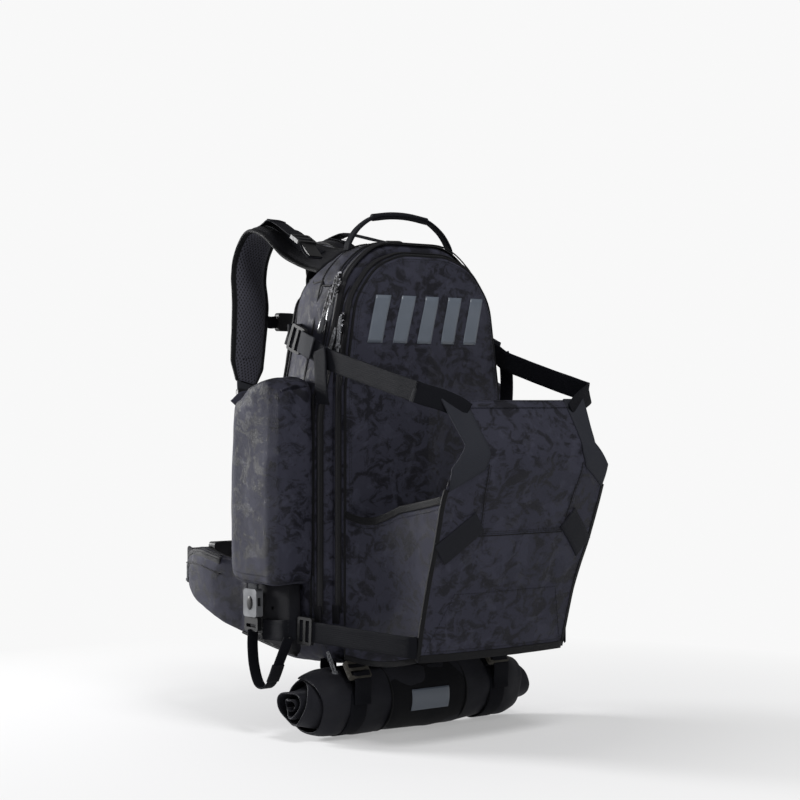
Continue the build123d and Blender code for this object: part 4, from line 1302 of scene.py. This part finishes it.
# zip, height of the slider, offset along y, lean towards the wearer, length and grip of each pull
PULLS = {"main_low": ("main", 541, 3.2, 0.22, 58, GRIP), "main_high": ("main", 556, -3.2, 0.10, 58, GRIP),
         "front_low": ("front", 492, 3.2, 0.30, 44, None), "front_high": ("front", 506, -3.2, -0.02, 44, None)}


def zip_pulls():
    for name, (zip_name, z, aside, lean, length, grip) in PULLS.items():
        (x0, z0), (x1, z1), y, lift = SLOPES[zip_name]
        down = unit(np.array([x0 - x1, 0, z0 - z1], float))
        out = np.array([down[2], 0, -down[0]])
        out = out if out[0] < 0 else -out
        x = x0 + (x1 - x0) * (z - z0) / (z1 - z0)
        start = np.array([x, y + aside, z]) + out * lift
        direction = unit(down + out * -0.02 + np.array([0, lean, 0]))
        material, radius = (CORD, 1.7) if grip else (GREY_CORD, 1.2)
        cord = cord_pull(f"{name}_cord", start, direction, (0, 1, 0), length, material, radius, "left", grip)
        piece(cord, f"{name}_pull", "pull_cord", f"{name}_pull")
        dress(f"{name}_slider", METAL, 0.7)
        tongue = [start - out * 4.5, start - out * 1.5 + down * 2, start + down * 3]
        piece(webbing(f"{name}_tongue", tongue, (0, 1, 0), 3.2, METAL, 1.0, 10),
              f"{name}_pull", "zip_metal")


def dress(node, material, bevel):
    """Gives a CAD node that stays in view its material and soft edges."""
    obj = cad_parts[node]
    obj.data.materials.clear()
    obj.data.materials.append(material)
    edge = obj.modifiers.new("bevel", "BEVEL")
    edge.width = bevel / 1000
    edge.segments = 3
    edge.limit_method = "ANGLE"
    edge.angle_limit = math.radians(40)
    edge.use_clamp_overlap = True
    smooth_by_angle = obj.modifiers.new("normals", "WEIGHTED_NORMAL")
    smooth_by_angle.keep_sharp = False
    for face in obj.data.polygons:
        face.use_smooth = True


# ---- build ---------------------------------------------------------------------------------------
main_bag()
front_bag()
reflective_mark()
zip_band("main_zip", BAG, BAG_OUT, 27, 150, "main_zip_chain")
zip_band("front_zip", FRONT, FRONT_OUT, 11.5, 150, "front_zip_chain")
for name in SIDES:
    side_pocket(name)
lower_sides()
for name in SIDES:
    shoulder_strap(name)
    hip_fin(name)
dress("lifter_locks", BLACK, 1.0)
yoke()
sternum()
back()
haul_loop()
carrier_flap()
gussets()
flap_straps()
tool_roll()
hanging_loop()
zip_pulls()
dress("inner_divider", DEEP, 0.3)
dress("frame_sheet", SHEET, 0.3)
dress("frame_stays", STAY, 0.3)


# ---- floor, light and camera -----------------------------------------------------------------------
def floor_material():
    """Matt pale floor that fades into the backdrop's white away from the object."""
    s = Shader("studio_floor", Specular_IOR_Level=0.1)
    s.bsdf.inputs["Base Color"].default_value = (0.74, 0.74, 0.75, 1)
    s.bsdf.inputs["Roughness"].default_value = 0.9
    glow = s.node("Emission", {"Color": (BACKDROP, BACKDROP, BACKDROP, 1), "Strength": 1.0})
    far = s.node("VectorMath", {0: s.place.outputs["Object"]}, operation="LENGTH", out="Value")
    share = s.node("MapRange", {"Value": far, "From Min": 0.30, "From Max": 0.95, "To Min": 0.35})
    both = s.tree.nodes.new("ShaderNodeMixShader")
    s.set(both.inputs[0], share)
    s.set(both.inputs[1], s.bsdf.outputs[0])
    s.set(both.inputs[2], glow)
    out = [n for n in s.tree.nodes if n.type == "OUTPUT_MATERIAL"][0]
    s.tree.links.new(both.outputs[0], out.inputs[0])
    return s.material


def area_light(name, spot, target, size, power):
    data = bpy.data.lights.new(name, "AREA")
    data.shape = "DISK"
    data.size = size
    data.energy = power
    obj = bpy.data.objects.new(name, data)
    obj.location = spot
    obj.rotation_euler = (Vector(target) - Vector(spot)).to_track_quat("-Z", "Y").to_euler()
    bpy.context.scene.collection.objects.link(obj)


BACKDROP = 0.94          # what the camera sees around the object
AMBIENT = 0.30           # what lights the object from all round
AZIMUTH, DISTANCE, AIM_Y, AIM_Z = -40, 2.5, 45, 407
plate = bpy.data.meshes.new("floor")
plate.from_pydata([(-12, -12, 0), (12, -12, 0), (12, 12, 0), (-12, 12, 0)], [], [(0, 1, 2, 3)])
plate.materials.append(floor_material())
floor = bpy.data.objects.new("floor", plate)
floor.location.z = min(cad_box[0][2], 0) - 0.001
bpy.context.scene.collection.objects.link(floor)

world = bpy.data.worlds.new("studio")
world.use_nodes = True
sky = world.node_tree.nodes["Background"]
sky.inputs["Color"].default_value = (1, 1, 1, 1)
ray = world.node_tree.nodes.new("ShaderNodeLightPath")
strength = world.node_tree.nodes.new("ShaderNodeMapRange")
strength.inputs["To Min"].default_value = AMBIENT
strength.inputs["To Max"].default_value = BACKDROP
world.node_tree.links.new(ray.outputs["Is Camera Ray"], strength.inputs["Value"])
world.node_tree.links.new(strength.outputs["Result"], sky.inputs["Strength"])
bpy.context.scene.world = world
bpy.context.scene.view_settings.view_transform = "Standard"

aim = Vector(to_frame((0, AIM_Y, AIM_Z)))
angle = math.radians(AZIMUTH)
camera = bpy.data.objects.new("camera", bpy.data.cameras.new("camera"))
camera.data.lens = 90
camera.data.sensor_width = 36
camera.location = aim + Vector((math.sin(angle), -math.cos(angle), 0)) * DISTANCE
camera.rotation_euler = (aim - camera.location).to_track_quat("-Z", "Y").to_euler()
bpy.context.scene.collection.objects.link(camera)
bpy.context.scene.camera = camera

area_light("key", (-0.4, -1.5, 2.5), aim, 1.0, 38)
area_light("rim", (-1.2, 2.2, 0.9), aim, 0.8, 110)
area_light("fill", (-2.2, -1.2, 0.6), aim, 1.4, 2)
